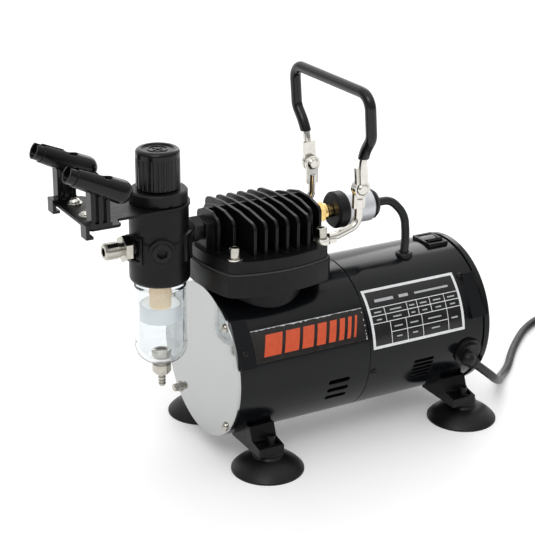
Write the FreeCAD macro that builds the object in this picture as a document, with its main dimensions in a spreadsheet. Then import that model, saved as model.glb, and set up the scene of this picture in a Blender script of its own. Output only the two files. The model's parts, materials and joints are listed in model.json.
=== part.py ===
import FreeCAD, Part
import math
import os

import Sketcher
from FreeCAD import Placement, Rotation, Vector

# Mini piston compressor with an airbrush holder, in millimetres.
# +X runs from the chrome end plate to the motor's rear, -Y is the labelled side and +Z is up.
# The origin is on the floor, under the middle of the compressor's box (the free cord left out).

SIZES = {
    # The horizontal body: a crankcase housing in front and a motor shell behind it.
    "plate_x": -48.1,            # front face of the chrome end plate
    "body_radius": 49.0,
    "axis_height": 60.5,
    "body_length": 184.8,
    "seam_offset": 92.7,         # crankcase to motor shell, from the plate's front face
    "wall": 3.0,
    "plate_thickness": 1.6,
    "cap_length": 5.2,
    "cap_radius": 50.0,
    "lip_radius": 41.0,          # inside of the ring that the end plate screws to
    "plate_screw_circle": 45.4,
    "plate_screw_angle": 46.0,
    "fit_gap": 0.05,
    "pad_width": 30.0,           # flat pads on the body's shoulders
    "pad_length": 10.4,
    "pad_angle": 30.0,
    "pad_seat": 46.45,           # distance of a pad's underside and of its face from the axis
    "pad_face": 49.4,
    "vent_length": 15.4,
    "vent_width": 3.4,
    # Legs and suction cups.
    "front_leg_offset": 22.5,
    "rear_leg_offset": 168.8,
    "leg_spread": 44.8,
    "leg_width": 17.0,
    "leg_reach": 53.6,
    "cup_radius": 22.6,
    "cup_height": 13.0,
    "front_leg_back": 2.1,       # the castings stand ahead of their cups
    "rear_leg_back": 4.8,
    # Cylinder and finned head, centred over the crank.
    "cylinder_offset": 36.8,
    "boss_radius": 30.2,
    "bore_radius": 19.0,
    "flange_low": 112.6,
    "flange_top": 126.0,
    "gasket_thickness": 0.8,
    "head_base_top": 134.4,
    "fin_top": 157.3,
    "fin_count": 10,
    "fin_pitch": 7.3,
    "fin_thickness": 1.8,
    "head_half": 35.0,           # corner of the head's plan
    "head_bulge": 6.2,           # how far each side swells beyond the corners
    "bolt_spread": 28.0,
    "front_bolt": -28.4,
    "rear_bolt": 31.0,
    "bolt_radius": 2.4,
    # Crank drive.
    "crank_throw": 5.0,
    "rod_length": 40.5,
    "shaft_radius": 4.0,
    "bearing_radius": 11.0,
    "bearing_width": 7.0,
    # Regulator with its moisture trap.
    "regulator_offset": -27.2,
    "regulator_radius": 17.7,
    "regulator_low": 118.8,
    "regulator_top": 166.8,
    "port_height": 142.0,
    "holder_thickness": 1.6,
    "collar_radius": 17.3,
    "collar_top": 176.0,
    "knob_radius": 13.1,
    "knob_height": 24.0,
    "spring_radius": 6.0,
    "spring_wire": 0.7,
    "spring_pitch": 2.25,
    "bowl_radius": 15.8,
    "bowl_wall": 2.2,
    # Airbrush holder.
    "arm_half_width": 18.8,
    "crossbar_half_width": 28.1,
    "crossbar_front": -82.3,
    "crossbar_back": -62.5,
    "cradle_spread": 25.0,
    "cradle_tail": -93.1,        # middle of the tube's open end
    "cradle_height": 201.0,
    "cradle_pitch": 25.0,        # nose-down angle of the cradles
    "cradle_length": 34.4,       # open end to the middle of the round nose
    "cradle_radius": 5.7,
    "nose_radius": 7.0,
    "cradle_bore": 4.0,
    "clip_reach": 4.4,           # how far the cradle's hook hangs below the plate
    # Folding handle.
    "pivot_offset": 93.8,
    "pivot_height": 165.7,
    "handle_lean": 4.4,
    "handle_half_width": 43.8,
    "handle_rise": 61.7,
    "rod_radius": 2.5,
    "sleeve_radius": 3.45,
    "bracket_spread": 27.9,
    "bracket_rod": 2.5,
    # Pressure switch, rocker and leads.
    "switch_height": 142.8,
    "switch_cable": 5.4,
    "rocker_offset": 168.8,
    "rocker_height": 107.4,
    "rocker_rest": -10.0,        # the labelled side's half stands up
    "cord_diameter": 5.8,
    "coil_radius": 32.0,         # middle of the stored turns
    "plug_height": 9.0,
    "gland_offset": 168.3,
    "gland_angle": 14.0,
}

doc = FreeCAD.newDocument("AirbrushCompressor")


class Size:
    """A driving dimension, or a sum of them, kept as its value and as the expression that gives it."""

    def __init__(self, value, text):
        self.value = float(value)
        self.text = text

    def __add__(self, other):
        other = sized(other)
        return Size(self.value + other.value, "(%s + %s)" % (self.text, other.text))

    def __sub__(self, other):
        other = sized(other)
        return Size(self.value - other.value, "(%s - %s)" % (self.text, other.text))

    def __mul__(self, other):
        other = sized(other)
        return Size(self.value * other.value, "(%s * %s)" % (self.text, other.text))

    def __truediv__(self, other):
        other = sized(other)
        return Size(self.value / other.value, "(%s / %s)" % (self.text, other.text))

    def __neg__(self):
        return Size(-self.value, "(0 - %s)" % self.text)

    def __radd__(self, other):
        return sized(other) + self

    def __rsub__(self, other):
        return sized(other) - self

    def __rmul__(self, other):
        return sized(other) * self

    def __float__(self):
        return self.value


def sized(number):
    """Any plain number as a Size."""
    if isinstance(number, Size):
        return number
    return Size(number, "(%.6f)" % number)


class Book:
    """The driving dimensions, read from the sheet by name."""


sheet = doc.addObject("Spreadsheet::Sheet", "Sizes")
book = Book()
for row, (alias, number) in enumerate(SIZES.items(), start=1):
    sheet.set("A%d" % row, alias)
    sheet.set("B%d" % row, str(number))
    sheet.setAlias("B%d" % row, alias)
    setattr(book, alias, Size(number, "Sizes.%s" % alias))
doc.recompute()

UP = Vector(0, 0, 1)
REARWARD = Vector(1, 0, 0)
SIDEWAYS = Vector(0, 1, 0)
nodes = []


def bind(item, prop, size):
    """Ties a property to the sheet, or sets it when it is a plain number."""
    if isinstance(size, Size):
        item.setExpression(prop, size.text)
    else:
        setattr(item, prop, size)


def place(item, x=0.0, y=0.0, z=0.0, direction=UP, turn=0.0):
    """Puts an item's origin at x, y, z, with its own Z axis along a direction."""
    spin = Rotation(UP, direction).multiply(Rotation(UP, turn))
    where = [sized(x), sized(y), sized(z)]
    item.Placement = Placement(Vector(*[w.value for w in where]), spin)
    for letter, size in zip("xyz", where):
        item.setExpression("Placement.Base.%s" % letter, size.text)
    return item


def node(item, label):
    """Marks an item as a sub-part that is written to its own file."""
    item.Label = label
    nodes.append(item)
    return item


def origin_feature(body, role):
    """A body's own plane or axis, such as XY_Plane or Z_Axis."""
    return [f for f in body.Origin.OriginFeatures if f.Role == role][0]


def pin_vertex(sketch, geometry, position, x, y):
    """Fixes one sketch point by its two distances from the sketch's origin."""
    for kind, size in (("DistanceX", sized(x)), ("DistanceY", sized(y))):
        index = sketch.addConstraint(Sketcher.Constraint(kind, -1, 1, geometry, position, size.value))
        sketch.setExpression("Constraints[%d]" % index, size.text)


def arc_through(start, end, radius):
    """An arc from start to end; a positive radius bulges to the right of the way from start to end."""
    chord = end - start
    middle = (start + end) / 2
    side = Vector(chord.y, -chord.x, 0).normalize()
    reach = abs(radius)
    sagitta = reach - math.sqrt(max(reach ** 2 - (chord.Length / 2) ** 2, 0.0))
    if radius < 0:
        return Part.Arc(end, middle - side * sagitta, start)
    return Part.Arc(start, middle + side * sagitta, end)


def draw_loop(sketch, corners):
    """A closed outline. A corner is (x, y), or (x, y, radius) when the next edge is an arc."""
    count = len(corners)
    first = sketch.GeometryCount
    starts = [Vector(float(c[0]), float(c[1]), 0) for c in corners]
    for i, corner in enumerate(corners):
        start, end = starts[i], starts[(i + 1) % count]
        if len(corner) == 3:
            sketch.addGeometry(arc_through(start, end, float(corner[2])), False)
        else:
            sketch.addGeometry(Part.LineSegment(start, end), False)
    ends = []
    for i, corner in enumerate(corners):
        geometry = sketch.Geometry[first + i]
        forward = (geometry.StartPoint - starts[i]).Length < 1e-6
        ends.append((1, 2) if forward else (2, 1))
    for i, corner in enumerate(corners):
        after = (i + 1) % count
        sketch.addConstraint(
            Sketcher.Constraint("Coincident", first + i, ends[i][1], first + after, ends[after][0]))
        pin_vertex(sketch, first + i, ends[i][0], corner[0], corner[1])
        if len(corner) == 3:
            reach = sized(corner[2])
            if reach.value < 0:
                reach = -reach
            index = sketch.addConstraint(Sketcher.Constraint("Radius", first + i, reach.value))
            sketch.setExpression("Constraints[%d]" % index, reach.text)


def draw_circle(sketch, x, y, radius):
    """A full circle in a sketch."""
    radius = sized(radius)
    circle = Part.Circle(Vector(float(x), float(y), 0), UP, radius.value)
    geometry = sketch.addGeometry(circle, False)
    pin_vertex(sketch, geometry, 3, x, y)
    index = sketch.addConstraint(Sketcher.Constraint("Radius", geometry, radius.value))
    sketch.setExpression("Constraints[%d]" % index, radius.text)


def draw(body, plane, loops=(), circles=(), offset=None):
    """A sketch on one of the body's origin planes, moved along the plane's normal by offset."""
    sketch = body.newObject("Sketcher::SketchObject", "Sketch")
    sketch.AttachmentSupport = [(origin_feature(body, plane), "")]
    sketch.MapMode = "FlatFace"
    if offset is not None:
        sketch.setExpression("AttachmentOffset.Base.z", sized(offset).text)
    for corners in loops:
        draw_loop(sketch, corners)
    for x, y, radius in circles:
        draw_circle(sketch, x, y, radius)
    return sketch


def new_body(name):
    return doc.addObject("PartDesign::Body", name)


def turned(name, outline, angle=360.0):
    """A lathe-turned body: an outline of (radius, height) corners spun about the body's Z axis."""
    body = new_body(name)
    sketch = draw(body, "XZ_Plane", [outline])
    spun = body.newObject("PartDesign::Revolution", "Turning")
    spun.Profile = sketch
    spun.ReferenceAxis = (sketch, ["V_Axis"])
    bind(spun, "Angle", angle)
    return body


def pad(body, plane, length, loops=(), circles=(), offset=None, midplane=False):
    """Adds a straight extrusion of a sketch to a body."""
    sketch = draw(body, plane, loops, circles, offset)
    block = body.newObject("PartDesign::Pad", "Pad")
    block.Profile = sketch
    bind(block, "Length", length)
    block.Midplane = midplane
    return block


def pocket(body, plane, depth, loops=(), circles=(), offset=None, both=True):
    """Cuts a sketch into a body, equally both ways from its plane unless told otherwise."""
    sketch = draw(body, plane, loops, circles, offset)
    cut = body.newObject("PartDesign::Pocket", "Pocket")
    cut.Profile = sketch
    bind(cut, "Length", depth)
    cut.Midplane = both
    return cut


def polar(body, feature, count):
    """Repeats a feature round the body's Z axis."""
    ring = body.newObject("PartDesign::PolarPattern", "Ring")
    ring.Originals = [feature]
    ring.Axis = (origin_feature(body, "Z_Axis"), [""])
    ring.Angle = 360
    ring.Occurrences = count
    body.Tip = ring
    return ring


def rod(name, radius, length, x=0.0, y=0.0, z=0.0, direction=UP):
    item = doc.addObject("Part::Cylinder", name)
    bind(item, "Radius", radius)
    bind(item, "Height", length)
    return place(item, x, y, z, direction)


def taper(name, radius, end_radius, length, x, y, z, direction):
    """A round bar whose radius changes evenly from its start to its end."""
    item = doc.addObject("Part::Cone", name)
    bind(item, "Radius1", radius)
    bind(item, "Radius2", end_radius)
    bind(item, "Height", length)
    return place(item, x, y, z, direction)


def brick(name, length, width, height, x=0.0, y=0.0, z=0.0, direction=UP):
    """A box centred in its length and width that rises along a direction; a level one has its length up."""
    item = doc.addObject("Part::Box", name)
    bind(item, "Length", length)
    bind(item, "Width", width)
    bind(item, "Height", height)
    level = abs(direction.z) < 1e-9
    spin = Rotation(UP, direction.cross(UP), direction, "ZXY") if level else Rotation(UP, direction)
    corner = spin.multVec(Vector(-0.5, 0, 0)), spin.multVec(Vector(0, -0.5, 0))
    item.Placement = Placement(Vector(0, 0, 0), spin)
    for i, (letter, size) in enumerate(zip("xyz", (x, y, z))):
        whole = sized(size) + sized(length) * corner[0][i] + sized(width) * corner[1][i]
        item.setExpression("Placement.Base.%s" % letter, whole.text)
    return item


def joined(name, shapes):
    item = doc.addObject("Part::MultiFuse", name)
    item.Shapes = shapes
    item.Refine = True
    return item


def grouped(name, shapes):
    """Separate solids that share one node."""
    item = doc.addObject("Part::Compound", name)
    item.Links = shapes
    return item


def cut(name, base, tools):
    item = doc.addObject("Part::Cut", name)
    item.Base = base
    item.Tool = tools[0] if len(tools) == 1 else joined(name + "Tools", tools)
    item.Refine = True
    return item


def shaped(name, shape, where=Placement()):
    item = doc.addObject("Part::Feature", name)
    item.Shape = shape
    item.Placement = where
    return item


def hexagon(half_flats):
    """The six corners of a hexagon with flats facing up and down."""
    reach = half_flats / math.cos(math.pi / 6)
    return [(reach * math.cos(math.pi / 3 * i), reach * math.sin(math.pi / 3 * i)) for i in range(6)]


def route_wire(points, radii=None):
    """Straight runs joined by tangent arcs, as large as the runs allow or of the given radii."""
    points = [Vector(*p) for p in points]
    edges = []
    used = []
    start = points[0]
    for i in range(1, len(points) - 1):
        corner = points[i]
        back, ahead = points[i - 1] - corner, points[i + 1] - corner
        turn = math.pi - back.getAngle(ahead)
        radius = 0.45 * min(back.Length, ahead.Length) / math.tan(turn / 2)
        if radii is not None:
            radius = radii[i - 1]
        trim = radius * math.tan(turn / 2)
        back.normalize()
        ahead.normalize()
        first, last = corner + back * trim, corner + ahead * trim
        inward = (back + ahead).normalize()
        middle = corner + inward * (radius / math.cos(turn / 2) - radius)
        edges.append(Part.LineSegment(start, first).toShape())
        edges.append(Part.Arc(first, middle, last).toShape())
        used.append(radius)
        start = last
    edges.append(Part.LineSegment(start, points[-1]).toShape())
    return Part.Wire(edges), used


def tube_along(points, radius, radii=None, bore=None):
    """A round bar, or a pipe with a bore, along a route; also the arc radii and the line's length."""
    path, used = route_wire(points, radii)
    start, ahead = Vector(*points[0]), Vector(*points[1]) - Vector(*points[0])
    sections = [radius] if bore is None else [radius, bore]
    solids = []
    for reach in sections:
        ring = Part.Wire([Part.Circle(start, ahead, reach).toShape()])
        solids.append(path.makePipeShell([ring], True, False))
    solid = solids[0] if bore is None else solids[0].cut(solids[1])
    return solid, used, path.Length


def along(offset):
    """The X of a point measured rearwards from the plate's front face."""
    return book.plate_x + offset


# ---------------------------------------------------------------- body housings

def slot_cutter(name, offset, width, degrees_down, side):
    """A round-ended slot tool that passes radially through the shell's wall."""
    half = book.vent_length / 2
    end = width / 2
    body = new_body(name)
    pad(body, "XY_Plane", 10.0, [[
        (-half + end, -end),
        (half - end, -end, end * 1.0001),
        (half - end, end),
        (-half + end, end, end * 1.0001),
    ]])
    angle = math.radians(degrees_down)
    outward = Vector(0, side * math.cos(angle), -math.sin(angle))
    along_x = Rotation(REARWARD, outward.cross(REARWARD) * -1, outward, "ZXY")
    body.Placement = Placement(Vector(0, 0, 0), along_x)
    reach = book.body_radius - 6.0
    body.setExpression("Placement.Base.x", along(offset + half).text)
    body.setExpression("Placement.Base.y", (reach * outward.y).text)
    body.setExpression("Placement.Base.z", (book.axis_height + reach * outward.z).text)
    return body


def shoulder_pad(name, offset, side):
    """A flat block on the body's shoulder."""
    angle = math.radians(SIZES["pad_angle"])
    outward = Vector(0, side * math.cos(angle), math.sin(angle))
    block = doc.addObject("Part::Box", name)
    bind(block, "Length", book.pad_length)
    bind(block, "Width", book.pad_width)
    bind(block, "Height", book.pad_face - book.pad_seat)
    across = outward.cross(REARWARD)
    spin = Rotation(REARWARD, across, outward, "ZXY")
    block.Placement = Placement(Vector(0, 0, 0), spin)
    low = book.pad_seat
    block.setExpression("Placement.Base.x", along(offset).text)
    block.setExpression("Placement.Base.y", (low * outward.y - book.pad_width * (across.y / 2)).text)
    block.setExpression("Placement.Base.z",
                        (book.axis_height + low * outward.z - book.pad_width * (across.z / 2)).text)
    return block


def screw_spots():
    """The four end-plate screws, as Y and height above the body's axis."""
    angle = math.radians(SIZES["plate_screw_angle"])
    reach = book.plate_screw_circle
    across, rise = reach * math.cos(angle), reach * math.sin(angle)
    return [(-across, rise), (-across, -rise), (across, -rise), (across, rise)]


def front_housing():
    wall = book.body_radius - book.wall
    front = book.plate_thickness
    length = book.seam_offset - front
    shell = turned("CrankcaseTurning", [
        (book.lip_radius, 0.0),
        (book.body_radius - 0.4, 0.0),
        (book.body_radius, 0.4),
        (book.body_radius, length - 0.5),
        (book.body_radius - 0.5, length),
        (wall, length),
        (wall, 61.0),
        (book.bearing_radius, 61.0),
        (book.bearing_radius, 54.0),
        (8.0, 54.0),
        (8.0, 52.0),
        (15.0, 52.0),
        (15.0, 57.0),
        (wall, 57.0),
        (wall, 8.0),
        (book.lip_radius, 8.0),
    ])
    place(shell, along(front), 0.0, book.axis_height, REARWARD)
    pads = [shoulder_pad("FrontPad%d" % i, book.plate_thickness, side) for i, side in enumerate((-1, 1))]
    whole = joined("CrankcaseWithPads", [shell] + pads)
    tools = [rod("LinerHole", 24.1, 40.0, along(book.cylinder_offset), 0.0, 83.0)]
    for side in (-1, 1):
        for i, drop in enumerate((13.0, 20.6, 28.2)):
            tools.append(slot_cutter("FrontVent", 63.4, book.vent_width, drop, side))
    for y, rise in screw_spots():
        tools.append(rod("LipHole", 1.5, 7.0, along(front), y, book.axis_height + rise, REARWARD))
    tools += screw_holes(True)
    node(cut("Crankcase", whole, tools), "front_housing")


def motor_shell():
    wall = book.body_radius - book.wall + 0.3
    start = book.seam_offset
    length = book.body_length - book.cap_length - start
    shell = turned("ShellTurning", [
        (wall, 0.0),
        (book.body_radius - 0.5, 0.0),
        (book.body_radius, 0.5),
        (book.body_radius, length),
        (wall, length),
    ])
    place(shell, along(start), 0.0, book.axis_height, REARWARD)
    back = book.body_length - book.cap_length - book.pad_length
    pads = [shoulder_pad("RearPad%d" % i, back, side) for i, side in enumerate((-1, 1))]
    whole = joined("ShellWithPads", [shell] + pads)
    tools = []
    for side in (-1, 1):
        for i in range(5):
            tools.append(slot_cutter("RearVent", 126.6, 2.3, 12.5 + 3.9 * i, side))
    tools.append(brick("RockerHole", 12.6, 17.4, 20.0, along(book.rocker_offset), 0.0, 98.0))
    tools.append(rod("GrommetHole", 3.6, 20.0, along(140.7), -10.9, 98.0))
    angle = math.radians(SIZES["gland_angle"])
    outward = Vector(0, -math.cos(angle), -math.sin(angle))
    tools.append(rod("GlandHole", 6.6, 14.0, along(book.gland_offset), 40.0 * outward.y,
                     book.axis_height + 40.0 * outward.z, outward))
    tools += screw_holes(False)
    node(cut("MotorShell", whole, tools), "motor_shell")


def rear_cap():
    rim = book.cap_radius
    length = book.cap_length
    spigot = book.body_radius - book.wall + 0.2
    cap = turned("RearCap", [
        (0.0, 0.5),
        (book.bearing_radius, 0.5),
        (book.bearing_radius, -6.5),
        (15.0, -6.5),
        (15.0, 2.2),
        (43.0, 2.2),
        (43.0, -3.0),
        (spigot, -3.0),
        (spigot, 0.0),
        (rim, 0.0),
        (rim, length - 2.4, 2.5),
        (rim - 2.4, length),
        (34.0, length),
        (33.0, length - 1.0),
        (0.0, length - 1.0),
    ])
    slot = pocket(cap, "XY_Plane", 30.0, [[
        (18.0, -1.4),
        (30.0, -1.4, 1.4001),
        (30.0, 1.4),
        (18.0, 1.4, 1.4001),
    ]])
    polar(cap, slot, 12)
    place(cap, along(book.body_length - length), 0.0, book.axis_height, REARWARD)
    node(cap, "rear_cap")


def end_plate():
    plate = turned("EndPlate", [
        (0.0, 0.0),
        (book.body_radius - 0.5, 0.0, 0.5001),
        (book.body_radius, 0.5),
        (book.body_radius, book.plate_thickness),
        (0.0, book.plate_thickness),
    ])
    # The body's own X and Y become -Z and Y once it lies along the axis.
    holes = [(-rise, y, 1.7) for y, rise in screw_spots()]
    pocket(plate, "XY_Plane", 10.0, circles=holes)
    place(plate, book.plate_x, 0.0, book.axis_height, REARWARD)
    node(plate, "end_plate")


def pan_screw(name, head, height, shank, length):
    """A pan-head screw that points along its own +Z, with its head below the origin."""
    screw = turned(name, [
        (0.0, -height),
        (head * 0.55, -height, head * 0.9),
        (head, -height * 0.35),
        (head, 0.0),
        (shank, 0.0),
        (shank, length),
        (0.0, length),
    ])
    pocket(screw, "XY_Plane", height * 1.1, [
        [(-head * 0.5, -0.3), (head * 0.5, -0.3), (head * 0.5, 0.3), (-head * 0.5, 0.3)],
    ], offset=-height)
    return screw


def plate_screws():
    screws = []
    for i, (y, rise) in enumerate(screw_spots()):
        if i == 2:
            stud = turned("EarthStud", [
                (0.0, -4.7),
                (2.0, -4.7),
                (2.5, -4.2),
                (2.5, -1.2),
                (3.4, -1.2),
                (3.4, 0.0),
                (1.45, 0.0),
                (1.45, 8.5),
                (0.0, 8.5),
            ])
            screws.append(place(stud, book.plate_x, y, book.axis_height + rise, REARWARD))
        else:
            screw = pan_screw("PlateScrew", 2.9, 2.1, 1.45, 8.5)
            screws.append(place(screw, book.plate_x, y, book.axis_height + rise, REARWARD))
    node(grouped("PlateScrews", screws), "plate_screws")


def radial(degrees_up, side):
    """The direction straight out of the body at an angle above level, on one side."""
    angle = math.radians(degrees_up)
    return Vector(0, side * math.cos(angle), math.sin(angle))


def screw_seats(front):
    """Where small screws sit in the front housing or the motor shell: X offset, seat and direction."""
    seats = []
    for side in (-1, 1):
        if front:
            outward = radial(SIZES["pad_angle"], side)
            lower = outward.cross(REARWARD) * side
            seats.append((6.0, outward * SIZES["pad_face"] + lower * 5.2, outward))
        else:
            for offset, degrees in ((96.2, -12.3), (168.9, 46.4)):
                outward = radial(degrees, side)
                seats.append((offset, outward * (SIZES["body_radius"] + 0.02), outward))
    return seats


def screw_holes(front):
    """Clearance drillings for the small screws."""
    holes = []
    for offset, seat, outward in screw_seats(front):
        start = seat - outward * 6.0
        holes.append(rod("ScrewHole", 1.25, 9.0, along(offset), start.y,
                         book.axis_height + start.z, outward))
    return holes


def housing_screws():
    screws = []
    for offset, seat, outward in screw_seats(True) + screw_seats(False):
        screw = pan_screw("HousingScrew", 2.1, 1.2, 1.2, 2.8)
        screws.append(place(screw, along(offset), seat.y, book.axis_height + seat.z, outward * -1))
    node(grouped("HousingScrews", screws), "housing_screws")


# ---------------------------------------------------------------- feet

def leg_blank(side, middle, stud):
    """One casting: a ledge over the cup, a step, and a foot that runs in under the body."""
    low = book.cup_height
    reach = book.leg_reach
    step, top = 20.4, 28.4
    outline = [
        (side * reach, low),
        (side * reach, 18.6),
        (side * 43.8, step),
        (side * 40.6, top),
        (side * 18.0, top),
        (side * 18.0, low),
    ]
    if side > 0:
        outline.reverse()
    body = new_body("LegBlank")
    pad(body, "YZ_Plane", book.leg_width, [outline], midplane=True)
    place(body, middle, 0.0, 0.0)
    # Two hollows in the ledge leave a rim and an upright round post between them.
    pocket_floor = 16.9
    tools = [rod("BodyClearance", book.body_radius + book.fit_gap, 60.0,
                 middle - 30.0, 0.0, book.axis_height, REARWARD)]
    for shift, length in ((-3.3, 7.0), (5.4, 3.2)):
        tools.append(brick("LedgeHollow", length, 7.0, 20.0, middle + shift, side * (reach - 5.4),
                           pocket_floor))
    post = rod("LedgePost", 2.8, 9.0, middle + 2.2, side * (reach - 5.6), low + 2.0)
    stud_hole = rod("StudHole", 2.5, 3.6, stud, side * book.leg_spread, low - 0.5)
    return cut("Leg", joined("LegWithPost", [cut("LegCasting", body, tools), post]), [stud_hole])


def legs():
    """Four cast legs, each saddled to the body above its cup."""
    castings = []
    for offset, back in ((book.front_leg_offset, book.front_leg_back),
                         (book.rear_leg_offset, book.rear_leg_back)):
        for side in (-1, 1):
            castings.append(leg_blank(side, along(offset) - back, along(offset)))
    node(grouped("Legs", castings), "legs")


def suction_cups():
    cups = []
    rim = book.cup_radius
    top = book.cup_height
    for offset in (book.front_leg_offset, book.rear_leg_offset):
        for side in (-1, 1):
            cup = turned("Cup", [
                (0.0, 4.6),
                (7.0, 4.6, -26.0),
                (rim - 2.2, 0.0),
                (rim, 0.0),
                (rim, 1.0, 24.0),
                (9.6, 9.2),
                (8.4, 10.6),
                (9.0, 11.4),
                (9.0, top),
                (2.4, top),
                (2.4, top + 2.8),
                (0.0, top + 2.8),
            ])
            cups.append(place(cup, along(offset), side * book.leg_spread, 0.0))
    node(grouped("Cups", cups), "suction_cups")


# ---------------------------------------------------------------- cylinder and head

def swollen_square(inset):
    """The head's plan: a square with bulging sides and small flats across its corners."""
    half = book.head_half - inset
    nick = 3.0
    chord = half - nick / 2
    swell = book.head_bulge
    reach = (chord * chord + swell * swell) / (swell * 2)
    return [
        (half - nick, -half),
        (half, -half + nick, reach),
        (half, half - nick),
        (half - nick, half, reach),
        (-half + nick, half),
        (-half, half - nick, reach),
        (-half, -half + nick),
        (-half + nick, -half, reach),
    ]


def bolt_spots():
    """The four head bolts, as X and Y from the cylinder's axis."""
    return [(x, side * book.bolt_spread) for x in (book.front_bolt, book.rear_bolt) for side in (-1, 1)]


def bolt_circles(radius):
    return [(x, y, radius) for x, y in bolt_spots()]


def cylinder():
    flange = new_body("Flange")
    height = book.flange_top - book.flange_low
    pad(flange, "XY_Plane", height, [swollen_square(0.0)], bolt_circles(book.bolt_radius + 0.1))
    place(flange, along(book.cylinder_offset), 0.0, book.flange_low)
    boss = rod("Boss", book.boss_radius, 30.0, along(book.cylinder_offset), 0.0, book.flange_low - 29.0)
    saddle = rod("SaddleCut", book.body_radius + book.fit_gap, 120.0, along(book.cylinder_offset) - 60.0,
                 0.0, book.axis_height, REARWARD)
    seated = cut("SeatedBoss", boss, [saddle])
    liner = rod("Liner", 24.0, 32.0, along(book.cylinder_offset), 0.0, 84.0)
    bore = rod("Bore", book.bore_radius, 60.0, along(book.cylinder_offset), 0.0, 80.0)
    whole = joined("CylinderBlank", [flange, seated, liner])
    node(cut("CylinderBarrel", whole, [bore]), "cylinder")


def head_gasket():
    gasket = new_body("Gasket")
    pad(gasket, "XY_Plane", book.gasket_thickness, [swollen_square(0.4)],
        bolt_circles(book.bolt_radius + 0.1) + [(0.0, 0.0, book.bore_radius + 0.5)])
    place(gasket, along(book.cylinder_offset), 0.0, book.flange_top)
    node(gasket, "head_gasket")


def valve_plate():
    plate = new_body("ValvePlate")
    pad(plate, "XY_Plane", 2.4, circles=[(0.0, 0.0, 24.0), (-8.0, 0.0, 3.0), (8.0, 0.0, 3.0)])
    place(plate, along(book.cylinder_offset), 0.0, book.flange_top + book.gasket_thickness)
    node(plate, "valve_plate")


def fin_half_width(index):
    """The fins get shorter towards the two ends, to leave room for the bolts."""
    reach = {0: 14.0, 1: 19.5, 8: 22.4, 9: 20.6}
    return reach.get(index, 32.0)


def cylinder_head():
    head = new_body("Head")
    base = book.flange_top + book.gasket_thickness
    base_height = book.head_base_top - base
    pad(head, "XY_Plane", base_height, [swollen_square(1.2)], bolt_circles(book.bolt_radius + 0.1))
    rise = book.fin_top - base
    first = -32.2
    for i in range(SIZES["fin_count"]):
        half = fin_half_width(i)
        shoulder = 6.3
        pad(head, "YZ_Plane", book.fin_thickness, [[
            (-half, 4.0),
            (half, 4.0),
            (half, rise - shoulder, 4.6),
            (half - 4.0, rise - 2.3),
            (half * 0.35, rise),
            (-half * 0.35, rise),
            (-half + 4.0, rise - 2.3, 4.6),
            (-half, rise - shoulder),
        ]], offset=first + book.fin_pitch * i)
    spine = rise - 0.7
    pad(head, "XZ_Plane", 1.6, [[
        (first, 4.0),
        (first + book.fin_pitch * 9, 4.0),
        (first + book.fin_pitch * 9, spine),
        (first, spine),
    ]], offset=-6.0)
    # Ports for the regulator in front and the pressure switch behind.
    pad(head, "YZ_Plane", 7.0, [[(-8.0, 2.0), (8.0, 2.0), (8.0, 24.5), (-8.0, 24.5)]], offset=-37.0)
    pad(head, "YZ_Plane", 6.0, [[(-8.0, 2.0), (8.0, 2.0), (8.0, 22.5), (-8.0, 22.5)]], offset=32.4)
    pocket(head, "XY_Plane", 8.8, circles=[(0.0, 0.0, 24.1)])
    pocket(head, "YZ_Plane", 16.0, circles=[(0.0, book.port_height + 4.6 - base, 4.5)], offset=-37.0)
    pocket(head, "YZ_Plane", 16.0, circles=[(0.0, book.switch_height - base, 4.5)], offset=38.4)
    place(head, along(book.cylinder_offset), 0.0, base)
    node(head, "cylinder_head")


def socket_bolt(name, head, height, shank, length):
    """A socket-head bolt that points down from the origin, with its head above it."""
    bolt = turned(name, [
        (0.0, -length),
        (shank, -length),
        (shank, 0.0),
        (head, 0.0),
        (head, height - 0.5),
        (head - 0.5, height),
        (0.0, height),
    ])
    pocket(bolt, "XY_Plane", height, [hexagon(head * 0.44)], offset=height)
    return bolt


def bolt_seats():
    """Each bolt's X and Y from the cylinder's axis and the height under its washer."""
    seats = []
    for x, y in bolt_spots():
        behind = x.value > 0
        seats.append((x, y, book.head_base_top + (2.5 if behind else 0.0)))
    return seats


def head_bolts():
    bolts = []
    for x, y, seat in bolt_seats():
        bolt = socket_bolt("HeadBolt", 3.4, 6.5, 2.4, 20.0)
        bolts.append(place(bolt, along(book.cylinder_offset) + x, y, seat + 1.1))
    node(grouped("HeadBolts", bolts), "head_bolts")


def head_washers():
    washers = []
    for x, y, seat in bolt_seats():
        ring = turned("Washer", [(2.5, 0.0), (5.2, 0.0), (5.2, 1.1), (2.5, 1.1)])
        washers.append(place(ring, along(book.cylinder_offset) + x, y, seat))
    node(grouped("HeadWashers", washers), "head_washers")


# ---------------------------------------------------------------- crank drive

def motor_bearings():
    rings = []
    for offset in (55.6, book.body_length - book.cap_length - 6.5):
        ring = turned("Bearing", [
            (book.shaft_radius + 0.03, 0.0),
            (book.bearing_radius - 0.02, 0.0),
            (book.bearing_radius - 0.02, book.bearing_width),
            (book.shaft_radius + 0.03, book.bearing_width),
        ])
        rings.append(place(ring, along(offset), 0.0, book.axis_height, REARWARD))
    node(grouped("Bearings", rings), "motor_bearings")


def stator():
    ring = turned("Stator", [(24.2, 0.0), (46.2, 0.0), (46.2, 40.0), (24.2, 40.0)])
    slot = pocket(ring, "XY_Plane", 90.0, [[(24.0, -1.0), (27.0, -1.0), (27.0, 1.0), (24.0, 1.0)]])
    polar(ring, slot, 24)
    place(ring, along(100.0), 0.0, book.axis_height, REARWARD)
    node(ring, "stator")


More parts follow.
